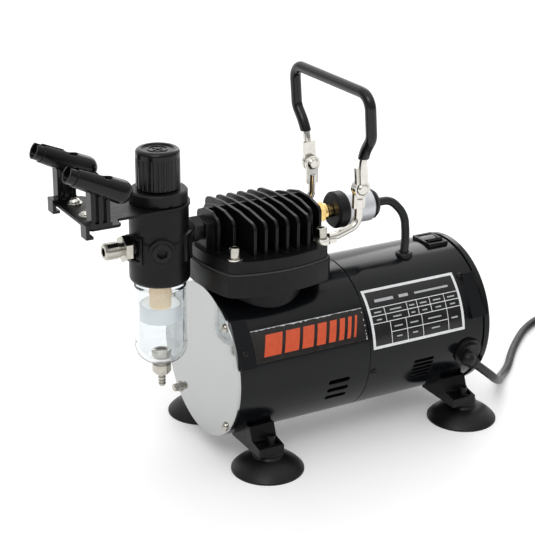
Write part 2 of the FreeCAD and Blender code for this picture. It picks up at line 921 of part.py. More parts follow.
def stator_windings():
    coils = []
    for offset in (89.5, 140.3):
        ring = turned("Winding", [
            (28.5, 0.0),
            (40.5, 0.0, 1.5001),
            (42.0, 1.5),
            (42.0, 10.2),
            (27.0, 10.2),
            (27.0, 1.5, 1.5001),
        ])
        turn_round = offset > 100.0
        place(ring, along(offset + (10.2 if turn_round else 0.0)), 0.0, book.axis_height,
              Vector(-1, 0, 0) if turn_round else REARWARD)
        coils.append(ring)
    node(grouped("Windings", coils), "stator_windings")


def rotor():
    core = turned("Rotor", [
        (book.shaft_radius, 0.0), (23.7, 0.0), (23.7, 40.0), (book.shaft_radius, 40.0)])
    place(core, along(100.0), 0.0, book.axis_height, REARWARD)
    node(core, "rotor")


def motor_shaft():
    shaft = rod("Shaft", book.shaft_radius, 129.0, along(50.8), 0.0, book.axis_height, REARWARD)
    node(shaft, "motor_shaft")


def cooling_fan():
    fan = turned("FanHub", [(book.shaft_radius, 0.0), (9.0, 0.0), (9.0, 12.0), (book.shaft_radius, 12.0)])
    blade = pad(fan, "XY_Plane", 12.0, [[(8.5, -0.8), (35.0, 3.2), (35.0, 4.8), (8.5, 0.8)]])
    polar(fan, blade, 8)
    place(fan, along(154.0), 0.0, book.axis_height, REARWARD)
    node(fan, "cooling_fan")


def crank():
    """A counterweighted disc on the shaft's end, with the crank pin at mid stroke."""
    disc = rod("CrankDisc", 18.0, 8.0, along(42.8), 0.0, book.axis_height, REARWARD)
    pin = rod("CrankPin", 4.0, 11.0, along(32.5), book.crank_throw, book.axis_height, REARWARD)
    relief = brick("CrankRelief", 10.0, 14.0, 40.0, along(46.8), 15.0, book.axis_height - 20.0)
    weighted = cut("CrankWeight", disc, [relief])
    node(joined("Crank", [weighted, pin]), "crank")


def connecting_rod():
    x = along(33.3)
    thickness = 7.0
    top = book.axis_height + book.rod_length
    big = rod("BigEnd", 8.0, thickness, x, book.crank_throw, book.axis_height, REARWARD)
    small = rod("SmallEnd", 4.5, thickness, x, book.crank_throw, top, REARWARD)
    beam = brick("Beam", thickness, 6.0, book.rod_length, x + thickness / 2, book.crank_throw,
                 book.axis_height)
    hole = rod("BigEndHole", 4.05, 20.0, x - 5.0, book.crank_throw, book.axis_height, REARWARD)
    node(cut("ConRod", joined("ConRodBlank", [big, small, beam]), [hole]), "connecting_rod")


def piston():
    cup = turned("Piston", [
        (0.0, 16.5),
        (15.0, 16.5),
        (15.0, 0.0),
        (book.bore_radius - book.fit_gap, 0.0),
        (book.bore_radius - book.fit_gap, 15.0),
        (17.6, 15.0),
        (17.6, 17.0),
        (book.bore_radius - book.fit_gap, 17.0),
        (book.bore_radius - book.fit_gap, 20.0),
        (0.0, 20.0),
    ])
    place(cup, along(book.cylinder_offset), 0.0, 100.0)
    node(cup, "piston")


# ---------------------------------------------------------------- regulator and moisture trap

def compass(degrees):
    """A level direction, turned from -Y towards +X."""
    angle = math.radians(degrees)
    return Vector(math.sin(angle), -math.cos(angle), 0)


def regulator_body():
    low, top = book.regulator_low, book.regulator_top
    reach = book.regulator_radius
    blank = turned("RegulatorTurning", [
        (13.9, 0.0),
        (reach - 2.6, 0.0, 3.1),
        (reach + 0.5, 3.1),
        (reach + 0.5, 27.0),
        (reach, 29.0),
        (reach, top - low - 0.6),
        (reach - 0.6, top - low),
        (12.0, top - low),
        (12.0, 57.0),
        (4.06, 57.0),
        (4.06, 52.0),
        (9.0, 52.0),
        (9.0, 31.0),
        (0.0, 31.0),
        (0.0, 15.0),
        (4.6, 15.0),
        (4.6, 10.0),
        (13.9, 10.0),
    ])
    x = along(book.regulator_offset)
    place(blank, x, 0.0, low)
    port = book.port_height
    parts = [blank]
    facing = compass(-20.0)
    parts.append(rod("PlugBoss", 8.3, 9.5, x + 10.0 * facing.x, 10.0 * facing.y, port, facing))
    for degrees in (-71.0, 45.0, 135.0):
        facing = compass(degrees)
        parts.append(brick("SideBoss", 16.6, 9.6, 9.5, x + 9.5 * facing.x, 9.5 * facing.y, port, facing))
    parts.append(rod("OutletBoss", 8.0, 8.0, x - 11.6, 0.0, port, Vector(-1, 0, 0)))
    parts.append(rod("InletBoss", 8.0, 8.0, x + 11.6, 0.0, port + 4.6, REARWARD))
    whole = joined("RegulatorBlank", parts)
    facing = compass(-20.0)
    tools = [rod("PlugHole", 6.1, 10.0, x + 12.5 * facing.x, 12.5 * facing.y, port, facing)]
    for degrees in (-71.0, 45.0, 135.0):
        facing = compass(degrees)
        tools.append(brick("BossRecess", 13.4, 6.4, 5.0, x + 17.9 * facing.x, 17.9 * facing.y, port, facing))
    tools.append(rod("OutletHole", 4.85, 12.0, x - 12.0, 0.0, port, Vector(-1, 0, 0)))
    tools.append(rod("InletHole", 4.85, 12.0, x + 12.0, 0.0, port + 4.6, REARWARD))
    node(cut("Regulator", whole, tools), "regulator_body")


def ring_nut():
    reach = book.collar_radius
    nut = turned("RingNut", [
        (12.1, 0.0),
        (reach - 0.5, 0.0),
        (reach, 0.5),
        (reach, 6.6),
        (reach - 1.0, 7.6),
        (12.1, 7.6),
    ])
    notch = pocket(nut, "XY_Plane", 3.0, circles=[(reach + 0.6, 0.0, 1.5)])
    polar(nut, notch, 12)
    place(nut, along(book.regulator_offset), 0.0, book.regulator_top + book.holder_thickness)
    node(nut, "ring_nut")


def regulator_knob():
    reach = book.knob_radius
    tall = book.knob_height
    knob = turned("Knob", [
        (3.06, 2.0),
        (6.0, 2.0),
        (6.0, 0.0),
        (reach - 0.8, 0.0),
        (reach, 0.8),
        (reach, tall - 2.4, 2.5),
        (reach - 2.4, tall),
        (reach - 3.6, tall),
        (reach - 4.0, tall - 0.9),
        (0.0, tall - 0.9),
        (0.0, 20.6),
        (3.06, 20.6),
    ])
    flute = pocket(knob, "XY_Plane", 38.0, circles=[(reach + 0.35, 0.0, 0.85)])
    polar(knob, flute, 28)
    place(knob, along(book.regulator_offset), 0.0, book.collar_top + 0.3)
    node(knob, "regulator_knob")


def adjusting_screw():
    screw = turned("AdjustingScrew", [
        (0.0, 0.0),
        (5.6, 0.0),
        (5.6, 1.5),
        (4.0, 1.5),
        (4.0, 15.6),
        (3.0, 15.6),
        (3.0, 32.0),
        (0.0, 32.0),
    ])
    place(screw, along(book.regulator_offset), 0.0, 160.6)
    node(screw, "adjusting_screw")


def regulator_spring():
    """The set spring, with its wire as a helix between the screw's foot and the chamber's floor."""
    coil = doc.addObject("Part::Helix", "SpringLine")
    bind(coil, "Pitch", book.spring_pitch)
    bind(coil, "Height", book.spring_pitch * 4)
    bind(coil, "Radius", book.spring_radius)
    section = doc.addObject("Part::Circle", "SpringWire")
    bind(section, "Radius", book.spring_wire)
    section.Placement = Placement(Vector(0, 0, 0), Rotation(REARWARD, 90))
    section.setExpression("Placement.Base.x", book.spring_radius.text)
    spring = doc.addObject("Part::Sweep", "Spring")
    spring.Sections = [section]
    spring.Spine = (coil, ["Edge1"])
    spring.Solid = True
    spring.Frenet = True
    place(spring, along(book.regulator_offset), 0.0, 150.6)
    node(spring, "regulator_spring")


def port_plug():
    plug = turned("PortPlug", [
        (0.0, -6.5), (6.0, -6.5), (6.0, -0.4), (5.6, 0.0), (0.0, 0.0)])
    pocket(plug, "XY_Plane", 6.0, [hexagon(3.0)])
    facing = compass(-20.0)
    reach = 19.9
    place(plug, along(book.regulator_offset) + reach * facing.x, reach * facing.y, book.port_height, facing)
    node(plug, "port_plug")


def fitting(name, outline, flats, low, high, x, y, z, direction, bore):
    """A turned fitting with a hexagon between two heights, and a bore through it."""
    shank = turned(name + "Turning", outline)
    pad(shank, "XY_Plane", high - low, [hexagon(flats)], offset=low)
    length = sum(abs(float(c[1])) for c in outline)
    pocket(shank, "XY_Plane", 2 * length, circles=[(0.0, 0.0, bore)])
    return place(shank, x, y, z, direction)


def outlet_fitting():
    item = fitting("Outlet", [
        (0.0, -5.5),
        (4.8, -5.5),
        (4.8, 0.0),
        (6.6, 0.0),
        (6.6, 4.6),
        (4.0, 4.6),
        (4.0, 6.0),
        (4.8, 6.6),
        (4.8, 15.4),
        (4.2, 16.0),
        (0.0, 16.0),
    ], 7.2, 0.2, 4.4, along(book.regulator_offset) - 19.7, 0.0, book.port_height, Vector(-1, 0, 0), 2.6)
    node(item, "outlet_fitting")


def inlet_nipple():
    start = along(book.regulator_offset) + 13.5
    item = fitting("Inlet", [
        (0.0, 0.0),
        (4.8, 0.0),
        (4.8, 6.2),
        (6.2, 6.2),
        (6.2, 13.4),
        (4.4, 13.4),
        (4.4, 21.0),
        (0.0, 21.0),
    ], 7.0, 6.6, 12.6, start, 0.0, book.port_height + 4.6, REARWARD, 2.6)
    node(item, "inlet_nipple")


def bowl():
    reach = book.bowl_radius
    inner = reach - book.bowl_wall
    item = turned("Bowl", [
        (3.2, 2.4),
        (3.2, 0.0),
        (5.4, 0.0, 11.6),
        (reach, 13.4),
        (reach, 51.6),
        (reach - 0.8, 52.6),
        (13.8, 52.6),
        (13.8, 62.0),
        (11.6, 62.0),
        (11.6, 51.0),
        (inner, 49.0),
        (inner, 13.4, -9.4),
        (5.4, 2.4),
    ])
    place(item, along(book.regulator_offset), 0.0, 65.8)
    node(item, "bowl")


def filter_element():
    item = turned("Filter", [(2.2, 0.0), (6.6, 0.0), (6.6, 15.0), (2.2, 15.0)])
    place(item, along(book.regulator_offset), 0.0, 101.7)
    node(item, "filter_element")


def filter_stem():
    """The stem that hangs in the bowl: a deflector over the filter and a baffle cup under it."""
    item = turned("FilterStem", [
        (0.0, 0.0),
        (3.4, 0.0),
        (3.4, 2.0),
        (12.2, 2.0),
        (12.6, 2.4),
        (12.6, 12.0),
        (11.7, 12.0),
        (11.7, 3.4),
        (5.0, 3.4),
        (5.0, 9.8),
        (2.1, 9.8),
        (2.1, 25.2),
        (8.4, 25.2),
        (8.4, 26.6),
        (4.5, 27.4),
        (4.5, 41.0),
        (0.0, 41.0),
    ])
    place(item, along(book.regulator_offset), 0.0, 91.8)
    node(item, "filter_stem")


def drain_body():
    """The drain valve's seat: a cone and nut under the bowl and a ring nut inside it."""
    item = turned("DrainBody", [
        (1.56, -8.6),
        (4.4, -8.6),
        (5.8, -6.8),
        (5.8, -2.2),
        (4.8, -0.1),
        (3.1, -0.1),
        (3.1, 2.8),
        (6.2, 2.8),
        (6.2, 6.4),
        (5.6, 7.0),
        (4.2, 7.0),
        (4.2, 4.6),
        (1.56, 4.6),
    ])
    place(item, along(book.regulator_offset), 0.0, 65.8)
    node(item, "drain_body")


def drain_stem():
    item = turned("DrainStem", [
        (0.0, 0.0),
        (1.6, 0.0),
        (2.4, 1.6),
        (1.7, 1.8),
        (2.4, 3.4),
        (1.7, 3.6),
        (2.4, 5.2),
        (2.4, 6.0),
        (1.5, 6.2),
        (1.5, 22.1),
        (2.8, 22.1),
        (2.8, 23.4),
        (0.0, 23.4),
    ])
    place(item, along(book.regulator_offset), 0.0, 48.6)
    node(item, "drain_stem")


# ---------------------------------------------------------------- airbrush holder

def holder_screw_spots():
    """The two screws through the crossbar: offset from the end plate, and Y."""
    return [(-73.0, 16.7), (-75.0, -6.3)]


def holder_plate():
    plate = new_body("HolderPlate")
    holes = [(x - book.regulator_offset, y, 1.7) for x, y in holder_screw_spots()]
    arm = book.arm_half_width
    bar = book.crossbar_half_width
    front = book.crossbar_front - book.regulator_offset
    back = book.crossbar_back - book.regulator_offset
    pad(plate, "XY_Plane", book.holder_thickness, [[
        (front, -bar + 2.0),
        (front + 2.0, -bar),
        (back - 2.0, -bar),
        (back, -bar + 2.0),
        (back, -arm - 2.0),
        (back + 2.0, -arm),
        (0.0, -arm, arm * 1.0001),
        (0.0, arm),
        (back + 2.0, arm),
        (back, arm + 2.0),
        (back, bar - 2.0),
        (back - 2.0, bar),
        (front + 2.0, bar),
        (front, bar - 2.0),
    ]], [(0.0, 0.0, 12.1)] + holes)
    place(plate, along(book.regulator_offset), 0.0, book.regulator_top)
    node(plate, "holder_plate")


def holder_screws():
    screws = []
    top = book.regulator_top + book.holder_thickness
    for x, y in holder_screw_spots():
        screw = pan_screw("HolderScrew", 3.5, 2.5, 1.6, 4.4)
        washer = turned("HolderWasher", [(1.7, 0.0), (4.5, 0.0), (4.5, 0.9), (1.7, 0.9)])
        screws.append(place(screw, along(x), y, top + 0.9, Vector(0, 0, -1)))
        screws.append(place(washer, along(x), y, top))
    node(grouped("HolderScrews", screws), "holder_screws")


def cradle(side, label):
    """A ribbed post clipped to the crossbar, under a tube with a round nose that takes an airbrush."""
    y = side * book.cradle_spread
    top = book.regulator_top + book.holder_thickness
    pitch = math.radians(SIZES["cradle_pitch"])
    ahead = Vector(math.cos(pitch), 0, -math.sin(pitch))
    upward = Vector(math.sin(pitch), 0, math.cos(pitch))

    def spot(distance, lift=0.0):
        """The point at a distance from the tube's open end and a lift above its middle line."""
        return (along(book.cradle_tail) + ahead.x * distance + upward.x * lift, y,
                book.cradle_height + ahead.z * distance + upward.z * lift)

    step = 4.6
    notch_at = 22.0
    length = book.cradle_length
    tail = rod("CradleTail", book.cradle_radius - 0.7, step + 1.0, *spot(0.0), ahead)
    shell = taper("CradleShell", book.cradle_radius, book.nose_radius, length - step, *spot(step), ahead)
    nose = doc.addObject("Part::Sphere", "CradleNose")
    bind(nose, "Radius", book.nose_radius)
    place(nose, *spot(length))

    post = along(-75.4)
    hook = along(-83.6)
    deep = 7.2
    web = brick("PostWeb", 11.0, 3.0, 23.0, post, y, top)
    ribs = [brick("PostRib", 2.2, deep, 20.6 - 2.4 * i, post + 4.6 * (i - 1), y, top) for i in range(3)]
    foot = brick("PostFoot", 13.6, deep, 2.4, post, y, top)
    low = top - book.holder_thickness - book.clip_reach
    arm = brick("HookArm", 2.2, deep + 0.8, book.holder_thickness + book.clip_reach + 2.4, hook, y, low)
    lip = brick("HookLip", 4.4, deep + 0.8, 1.6, hook + 1.1, y, low)
    crown = rod("HookTop", 1.2, deep + 0.8, hook, y - (deep + 0.8) / 2, top + 1.2, SIDEWAYS)
    whole = joined("CradleBlank", [tail, shell, nose, web, foot, arm, lip, crown] + ribs)

    bore = rod("CradleBore", book.cradle_bore, 33.5, *spot(-1.0), ahead)
    slot_start = -6.0
    slot_length = notch_at - slot_start
    mouth = brick("CradleSlot", slot_length, 5.2, 14.0, *spot(slot_start + slot_length / 2, 1.2), upward)
    notch = rod("TriggerNotch", 4.4, 14.0, *spot(notch_at, 2.4), upward)
    node(cut("Cradle", whole, [bore, mouth, notch]), label)


# ---------------------------------------------------------------- folding handle

def handle_bracket(side, label):
    """A bent rod with a flattened eye under the head bolt and another at the pivot."""
    y = side * SIZES["bracket_spread"]
    bolt_y = side * SIZES["bolt_spread"]
    bolt_x = SIZES["plate_x"] + SIZES["cylinder_offset"] + SIZES["rear_bolt"]
    pivot_x = SIZES["plate_x"] + SIZES["pivot_offset"]
    floor = SIZES["head_base_top"]
    reach = SIZES["bracket_rod"]
    points = [
        (bolt_x + 3.0, bolt_y, floor + reach + 0.05),
        (bolt_x + 11.0, bolt_y, floor + reach + 0.6),
        (bolt_x + 26.0, y, floor + reach + 5.2),
        (pivot_x + 0.2, y, SIZES["pivot_height"] - 7.2),
    ]
    bar = tube_along(points, reach, radii=[14.0, 7.5])[0]
    flat = Part.makeCylinder(5.4, 2.5, Vector(bolt_x, bolt_y, floor), UP)
    tongue = Part.makeBox(9.0, 7.0, 2.5, Vector(bolt_x, bolt_y - 3.5, floor))
    eye = Part.makeCylinder(5.2, 2.4, Vector(pivot_x, y - 1.2, SIZES["pivot_height"]), SIDEWAYS)
    neck = Part.makeBox(8.0, 2.4, 12.0, Vector(pivot_x - 4.0, y - 1.2, SIZES["pivot_height"] - 13.0))
    whole = bar.fuse([flat, tongue, eye, neck])
    bolt_hole = Part.makeCylinder(SIZES["bolt_radius"] + 0.1, 20.0, Vector(bolt_x, bolt_y, floor - 5), UP)
    pivot_hole = Part.makeCylinder(2.0, 20.0, Vector(pivot_x, y - 10.0, SIZES["pivot_height"]), SIDEWAYS)
    washer_room = Part.makeCylinder(5.25, 12.0, Vector(bolt_x, bolt_y, floor + 2.5), UP)
    node(shaped("HandleBracket", whole.cut([bolt_hole, pivot_hole, washer_room]).removeSplitter()), label)


HANDLE_BENDS = [30.0, 9.0, 9.0, 9.0, 9.0, 30.0]
SLEEVE_START = 20.6


def handle_line():
    """The handle's route in its own plane, as Y and height above the pivot."""
    side = SIZES["handle_half_width"]
    top = SIZES["handle_rise"]
    right = [(32.3, 4.0), (32.6, 21.0), (side, 35.0), (side, top)]
    left = [(-y, z) for y, z in reversed(right)]
    return [(0.0, y, z) for y, z in right + left]


def leaned():
    """Where the handle's own plane stands: on the pivot, leaned forwards."""
    pivot = Vector(SIZES["plate_x"] + SIZES["pivot_offset"], 0, SIZES["pivot_height"])
    return Placement(pivot, Rotation(SIDEWAYS, -SIZES["handle_lean"]))


def handle_rod():
    core = tube_along(handle_line(), SIZES["rod_radius"], radii=HANDLE_BENDS)[0]
    for side in (-1, 1):
        inner = 29.5 if side > 0 else -32.0
        eye = Part.makeCylinder(5.4, 2.5, Vector(0, inner, 0), SIDEWAYS)
        neck = Part.makeBox(8.0, 2.5, 14.0, Vector(-4.0, inner, 0))
        hole = Part.makeCylinder(2.06, 20.0, Vector(0, side * 31.0 - 10.0, 0), SIDEWAYS)
        core = core.fuse([eye, neck]).cut(hole)
    node(shaped("HandleRod", core.removeSplitter(), leaned()), "handle_rod")


def handle_sleeve():
    sleeve = tube_along(handle_line(), SIZES["sleeve_radius"], radii=HANDLE_BENDS,
                        bore=SIZES["rod_radius"])[0]
    keep = Part.makeBox(60.0, 160.0, 120.0, Vector(-30.0, -80.0, SLEEVE_START))
    node(shaped("HandleSleeve", sleeve.common(keep), leaned()), "handle_sleeve")


def pivot_rivets():
    rivets = []
    inner = 26.6
    for side in (-1, 1):
        rivet = turned("Rivet", [
            (0.0, -1.5),
            (2.6, -1.5, 3.4),
            (4.0, 0.0),
            (2.0, 0.0),
            (2.0, 5.9),
            (4.0, 5.9, 3.4),
            (2.6, 7.4),
            (0.0, 7.4),
        ])
        rivets.append(place(rivet, along(book.pivot_offset), side * inner, book.pivot_height,
                            Vector(0, side, 0)))
    node(grouped("Rivets", rivets), "pivot_rivets")


# ---------------------------------------------------------------- pressure switch, rocker and leads

def switch_fitting():
    item = fitting("Brass", [
        (0.0, 0.0),
        (4.4, 0.0),
        (4.4, 6.0),
        (5.4, 6.0),
        (5.4, 17.0),
        (4.2, 18.4),
        (4.2, 21.4),
        (0.0, 21.4),
    ], 5.9, 8.0, 14.6, along(69.6), 0.0, book.switch_height, REARWARD, 1.8)
    node(item, "switch_fitting")


def pressure_switch_base():
    item = turned("SwitchBase", [
        (4.3, 0.0),
        (10.2, 0.0),
        (11.7, 1.6),
        (11.7, 7.4),
        (10.9, 8.4),
        (4.3, 8.4),
    ])
    place(item, along(91.4), 0.0, book.switch_height, REARWARD)
    node(item, "pressure_switch_base")


def pressure_switch_can():
    item = turned("SwitchCan", [(0.0, 0.0), (10.6, 0.0), (10.6, 18.2), (10.2, 18.7), (0.0, 18.7)])
    place(item, along(99.8), 0.0, book.switch_height, REARWARD)
    node(item, "pressure_switch_can")


def pressure_switch_boot():
    item = turned("SwitchBoot", [
        (0.0, 0.0), (9.7, 0.0), (9.7, 2.4), (8.2, 4.6), (4.2, 5.4), (4.2, 6.4), (0.0, 6.4)])
    place(item, along(118.5), 0.0, book.switch_height, REARWARD)
    node(item, "pressure_switch_boot")


def held_cable():
    """The lead from the switch's boot over to the motor shell."""
    height = SIZES["switch_height"]
    plate = SIZES["plate_x"]
    points = [
        (plate + 124.9, 0.0, height),
        (plate + 136.4, 0.0, height),
        (plate + 144.0, -5.0, height - 9.5),
        (plate + 142.0, -10.2, height - 22.5),
        (plate + 140.8, -10.9, 109.3),
    ]
    solid, radii, length = tube_along(points, SIZES["switch_cable"] / 2)
    print("switch cable: length %.0f, arc radii" % length, ["%.0f" % r for r in radii])
    node(shaped("SwitchCable", solid), "switch_cable")


def cable_grommet():
    x, y = along(140.7), -10.9
    collar = turned("GrommetCollar", [
        (0.0, 0.0), (5.6, 0.0), (5.6, 2.6), (4.6, 3.8), (3.3, 3.8), (3.3, 2.6), (0.0, 2.6)])
    place(collar, x, y, 106.4)
    skin = rod("GrommetSkin", book.body_radius + 0.05, 40.0, x - 20.0, 0.0, book.axis_height, REARWARD)
    outside = cut("GrommetFlange", collar, [skin])
    neck = rod("GrommetNeck", 3.5, 2.6, x, y, 106.3)
    node(joined("Grommet", [outside, neck]), "cable_grommet")


def rocker_bezel():
    """A framed well let into the shell's crown."""
    x = along(book.rocker_offset)
    frame_length, frame_width = 14.6, 19.4
    well_length, well_width = 12.4, 17.2
    gap_length, gap_width = 11.2, 16.0
    frame = brick("BezelFrame", frame_length, frame_width, 3.3, x, 0.0, 107.7)
    skin = rod("BezelSkin", book.body_radius + 0.05, 60.0, x - 30.0, 0.0, book.axis_height, REARWARD)
    outside = cut("BezelRim", frame, [skin])
    well = brick("BezelWell", well_length, well_width, 13.9, x, 0.0, 97.0)
    whole = joined("BezelBlank", [outside, well])
    opening = brick("BezelOpening", gap_length, gap_width, 13.0, x, 0.0, 99.0)
    swing = rod("BezelSwing", 8.2, gap_length, x - gap_length / 2, 0.0, book.rocker_height, REARWARD)
    node(cut("Bezel", whole, [opening, swing]), "rocker_bezel")


def rocker():
    """A see-saw button: a drum about its pivot with two hollowed faces, rocked to one side."""
    body = new_body("Rocker")
    reach = 7.8
    rim = 4.4
    side = math.sqrt(reach ** 2 - rim ** 2)
    pad(body, "YZ_Plane", 10.8, [[
        (-side, -3.0),
        (side, -3.0),
        (side, rim, 14.0),
        (0.0, 3.0),
        (-side, rim),
    ]], midplane=True)
    body.Placement = Placement(Vector(0, 0, 0), Rotation(REARWARD, SIZES["rocker_rest"]))
    body.setExpression("Placement.Base.x", along(book.rocker_offset).text)
    body.setExpression("Placement.Base.z", book.rocker_height.text)
    node(body, "rocker")


def power_gland():
    """A round bushing in the shell's side, with a hooded snout that turns the cord rearwards."""
    angle = math.radians(SIZES["gland_angle"])
    outward = Vector(0, -math.cos(angle), -math.sin(angle))
    centre = Vector(SIZES["plate_x"] + SIZES["gland_offset"], 0, SIZES["axis_height"])
    body = SIZES["body_radius"]
    flange = Part.makeCylinder(9.8, 4.4, centre + outward * (body - 2.6), outward)
    ring = Part.makeCylinder(7.6, 4.8, centre + outward * (body - 1.2), outward)
    shell = Part.makeCylinder(body + 0.05, 60.0, centre - REARWARD * 30.0, REARWARD)
    outside = flange.fuse(ring).cut(shell)
    neck = Part.makeCylinder(6.5, 8.0, centre + outward * (body - 6.0), outward)
    exit_point, next_point = [Vector(*p) for p in cord_route()[:2]]
    ahead = (next_point - exit_point).normalize()
    snout_length, snout_radius = 7.0, 5.0
    back = exit_point - ahead * snout_length
    snout = Part.makeCone(snout_radius, 3.7, snout_length, back, ahead)
    dome = Part.makeSphere(snout_radius, back)
    whole = outside.fuse([neck, snout, dome])
    node(shaped("Gland", whole.removeSplitter()), "power_gland")


def cord_route():
    """The mains cord from the gland down to the floor and off to its stored coil."""
    plate = SIZES["plate_x"]
    low = SIZES["cord_diameter"] / 2
    line = [
        (169.6, -54.4, 42.4),
        (183.0, -54.2, 31.4),
        (193.6, -47.8, 22.4),
        (207.4, -34.6, 13.6),
        (218.2, -20.8, 7.2),
        (229.6, -10.4, low),
        (241.0, -1.6, low),
        (258.0, 16.5, low),
        (277.5, 33.5, low),
        (291.5, 44.4, low),
        (311.0, 54.5, low),
        (330.0, 58.2, low),
        (351.0, 57.0, low),
    ]
    return [(plate + x, y, z) for x, y, z in line]


def power_cord():
    """The loose stretch, and the short tail from the coil to the plug."""
    reach = SIZES["cord_diameter"] / 2
    stretches = []
    for name, route in (("loose stretch", cord_route()), ("tail", tail_route())):
        solid, radii, length = tube_along(route, reach)
        print("power cord %s: length %.0f, arc radii" % (name, length), ["%.0f" % r for r in radii])
        print("its volume %.0f against %.0f" % (solid.Volume, length * math.pi * reach ** 2))
        stretches.append(solid)
    node(shaped("PowerCord", Part.Compound(stretches)), "power_cord")


def coil_centre():
    """The loose stretch runs into the coil's outer turn as a tangent."""
    x, y, z = cord_route()[-1]
    return Vector(x, y - SIZES["coil_radius"] - SIZES["cord_diameter"], 0)


def cord_coil():
    """The outer shape of the stored turns: three side by side, two deep."""
    middle = SIZES["coil_radius"]
    thick = SIZES["cord_diameter"]
    centre = coil_centre()
    outer = Part.makeCylinder(middle + 1.5 * thick, 2 * thick, centre, UP)
    inner = Part.makeCylinder(middle - 1.5 * thick, 2 * thick, centre, UP)
    node(shaped("CordCoil", outer.cut(inner)), "cord_coil")


def tail_route():
    """From the coil's upper outer turn round to the back of the plug."""
    centre = coil_centre()
    thick = SIZES["cord_diameter"]
    outer_turn = SIZES["coil_radius"] + thick
    line = [
        (outer_turn, 0.0, 1.5 * thick),
        (outer_turn + 1.2, -21.0, 1.2 * thick),
        (outer_turn - 2.4, -42.0, 0.55 * thick),
        (22.0, -59.0, 0.8 * thick),
        (3.0, -65.0, SIZES["plug_height"]),
    ]
    return [(centre.x + x, centre.y + y, z) for x, y, z in line]


def power_plug():
    """A moulded two-pin plug lying beside the coil."""
    end = Vector(*tail_route()[-1])
    ahead = end - Vector(*tail_route()[-2])
    turn = math.degrees(math.atan2(ahead.y, ahead.x))
    relief = Part.makeCone(3.6, 5.6, 16.0, Vector(0, 0, 0), REARWARD)
    grip = Part.makeBox(24.0, 23.0, 16.0, Vector(12.0, -11.5, -8.0))
    grip = grip.makeFillet(5.0, grip.Edges)
    head = Part.makeBox(6.0, 28.0, 17.6, Vector(33.0, -14.0, -8.8))
    head = head.makeFillet(2.0, head.Edges)
    pins = [Part.makeCylinder(2.4, 19.0, Vector(38.0, side * 9.5, 0), REARWARD) for side in (-1, 1)]
    whole = relief.fuse([grip, head] + pins).removeSplitter()
    node(shaped("PowerPlug", whole, Placement(end, Rotation(UP, turn))), "power_plug")


def wrapped_label(name, label, offset, length, low, high):
    """A thin sticker that wraps the body's -Y side between two angles above level."""
    inner = book.body_radius + 0.02
    outer = inner + 0.28
    sticker = turned(name, [(inner, 0.0), (outer, 0.0), (outer, length), (inner, length)], angle=high - low)
    # Laid along +X, the turning starts at the underside, so it is lifted to its upper edge.
    lift = Rotation(REARWARD, -(90.0 + high))
    sticker.Placement = Placement(Vector(0, 0, 0), lift.multiply(Rotation(UP, REARWARD)))
    sticker.setExpression("Placement.Base.x", along(offset).text)
    sticker.setExpression("Placement.Base.z", book.axis_height.text)
    node(sticker, label)


def build():
    front_housing()
    motor_shell()
    rear_cap()
    end_plate()
    plate_screws()
    housing_screws()
    legs()
    suction_cups()
    cylinder()
    head_gasket()
    valve_plate()
    cylinder_head()
    head_bolts()
    head_washers()
    motor_bearings()
    stator()
    stator_windings()
    rotor()
    motor_shaft()
    cooling_fan()
    crank()
    connecting_rod()
    piston()
    regulator_body()
    ring_nut()
    regulator_knob()
    adjusting_screw()
    regulator_spring()
    port_plug()
    outlet_fitting()
    inlet_nipple()
    bowl()
    filter_element()
    filter_stem()
    drain_body()
    drain_stem()
    holder_plate()
    holder_screws()
    cradle(-1, "cradle_left")
    cradle(1, "cradle_right")
    handle_bracket(-1, "handle_bracket_left")
    handle_bracket(1, "handle_bracket_right")
    handle_rod()
    handle_sleeve()
    pivot_rivets()
    switch_fitting()
    pressure_switch_base()
    pressure_switch_can()
    pressure_switch_boot()
    held_cable()
    cable_grommet()
    rocker_bezel()
    rocker()
    power_gland()
    power_cord()
    cord_coil()
    power_plug()
    wrapped_label("FrontSticker", "front_label", 12.9, 78.2, 15.0, 38.5)
    wrapped_label("RatingSticker", "rating_label", 94.8, 69.4, 6.0, 50.5)


def check_and_write():
    """Stops on any failed object or bad shape, then writes each sub-part to its own file."""
    doc.recompute()
    failed = [o.Name for o in doc.Objects if "Invalid" in o.State or "Error" in o.State]
    if failed:
        raise RuntimeError("failed objects: %s" % ", ".join(failed))
    for item in nodes:
        if item.Shape.isNull() or not item.Shape.isValid() or item.Shape.Volume <= 0:
            raise RuntimeError("bad shape: %s" % item.Label)
    os.makedirs("parts", exist_ok=True)
    for item in nodes:
        item.Shape.exportStep("parts/%s.step" % item.Label)
    print(len(nodes), "sub-parts written")


build()
check_and_write()
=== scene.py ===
import math
import random

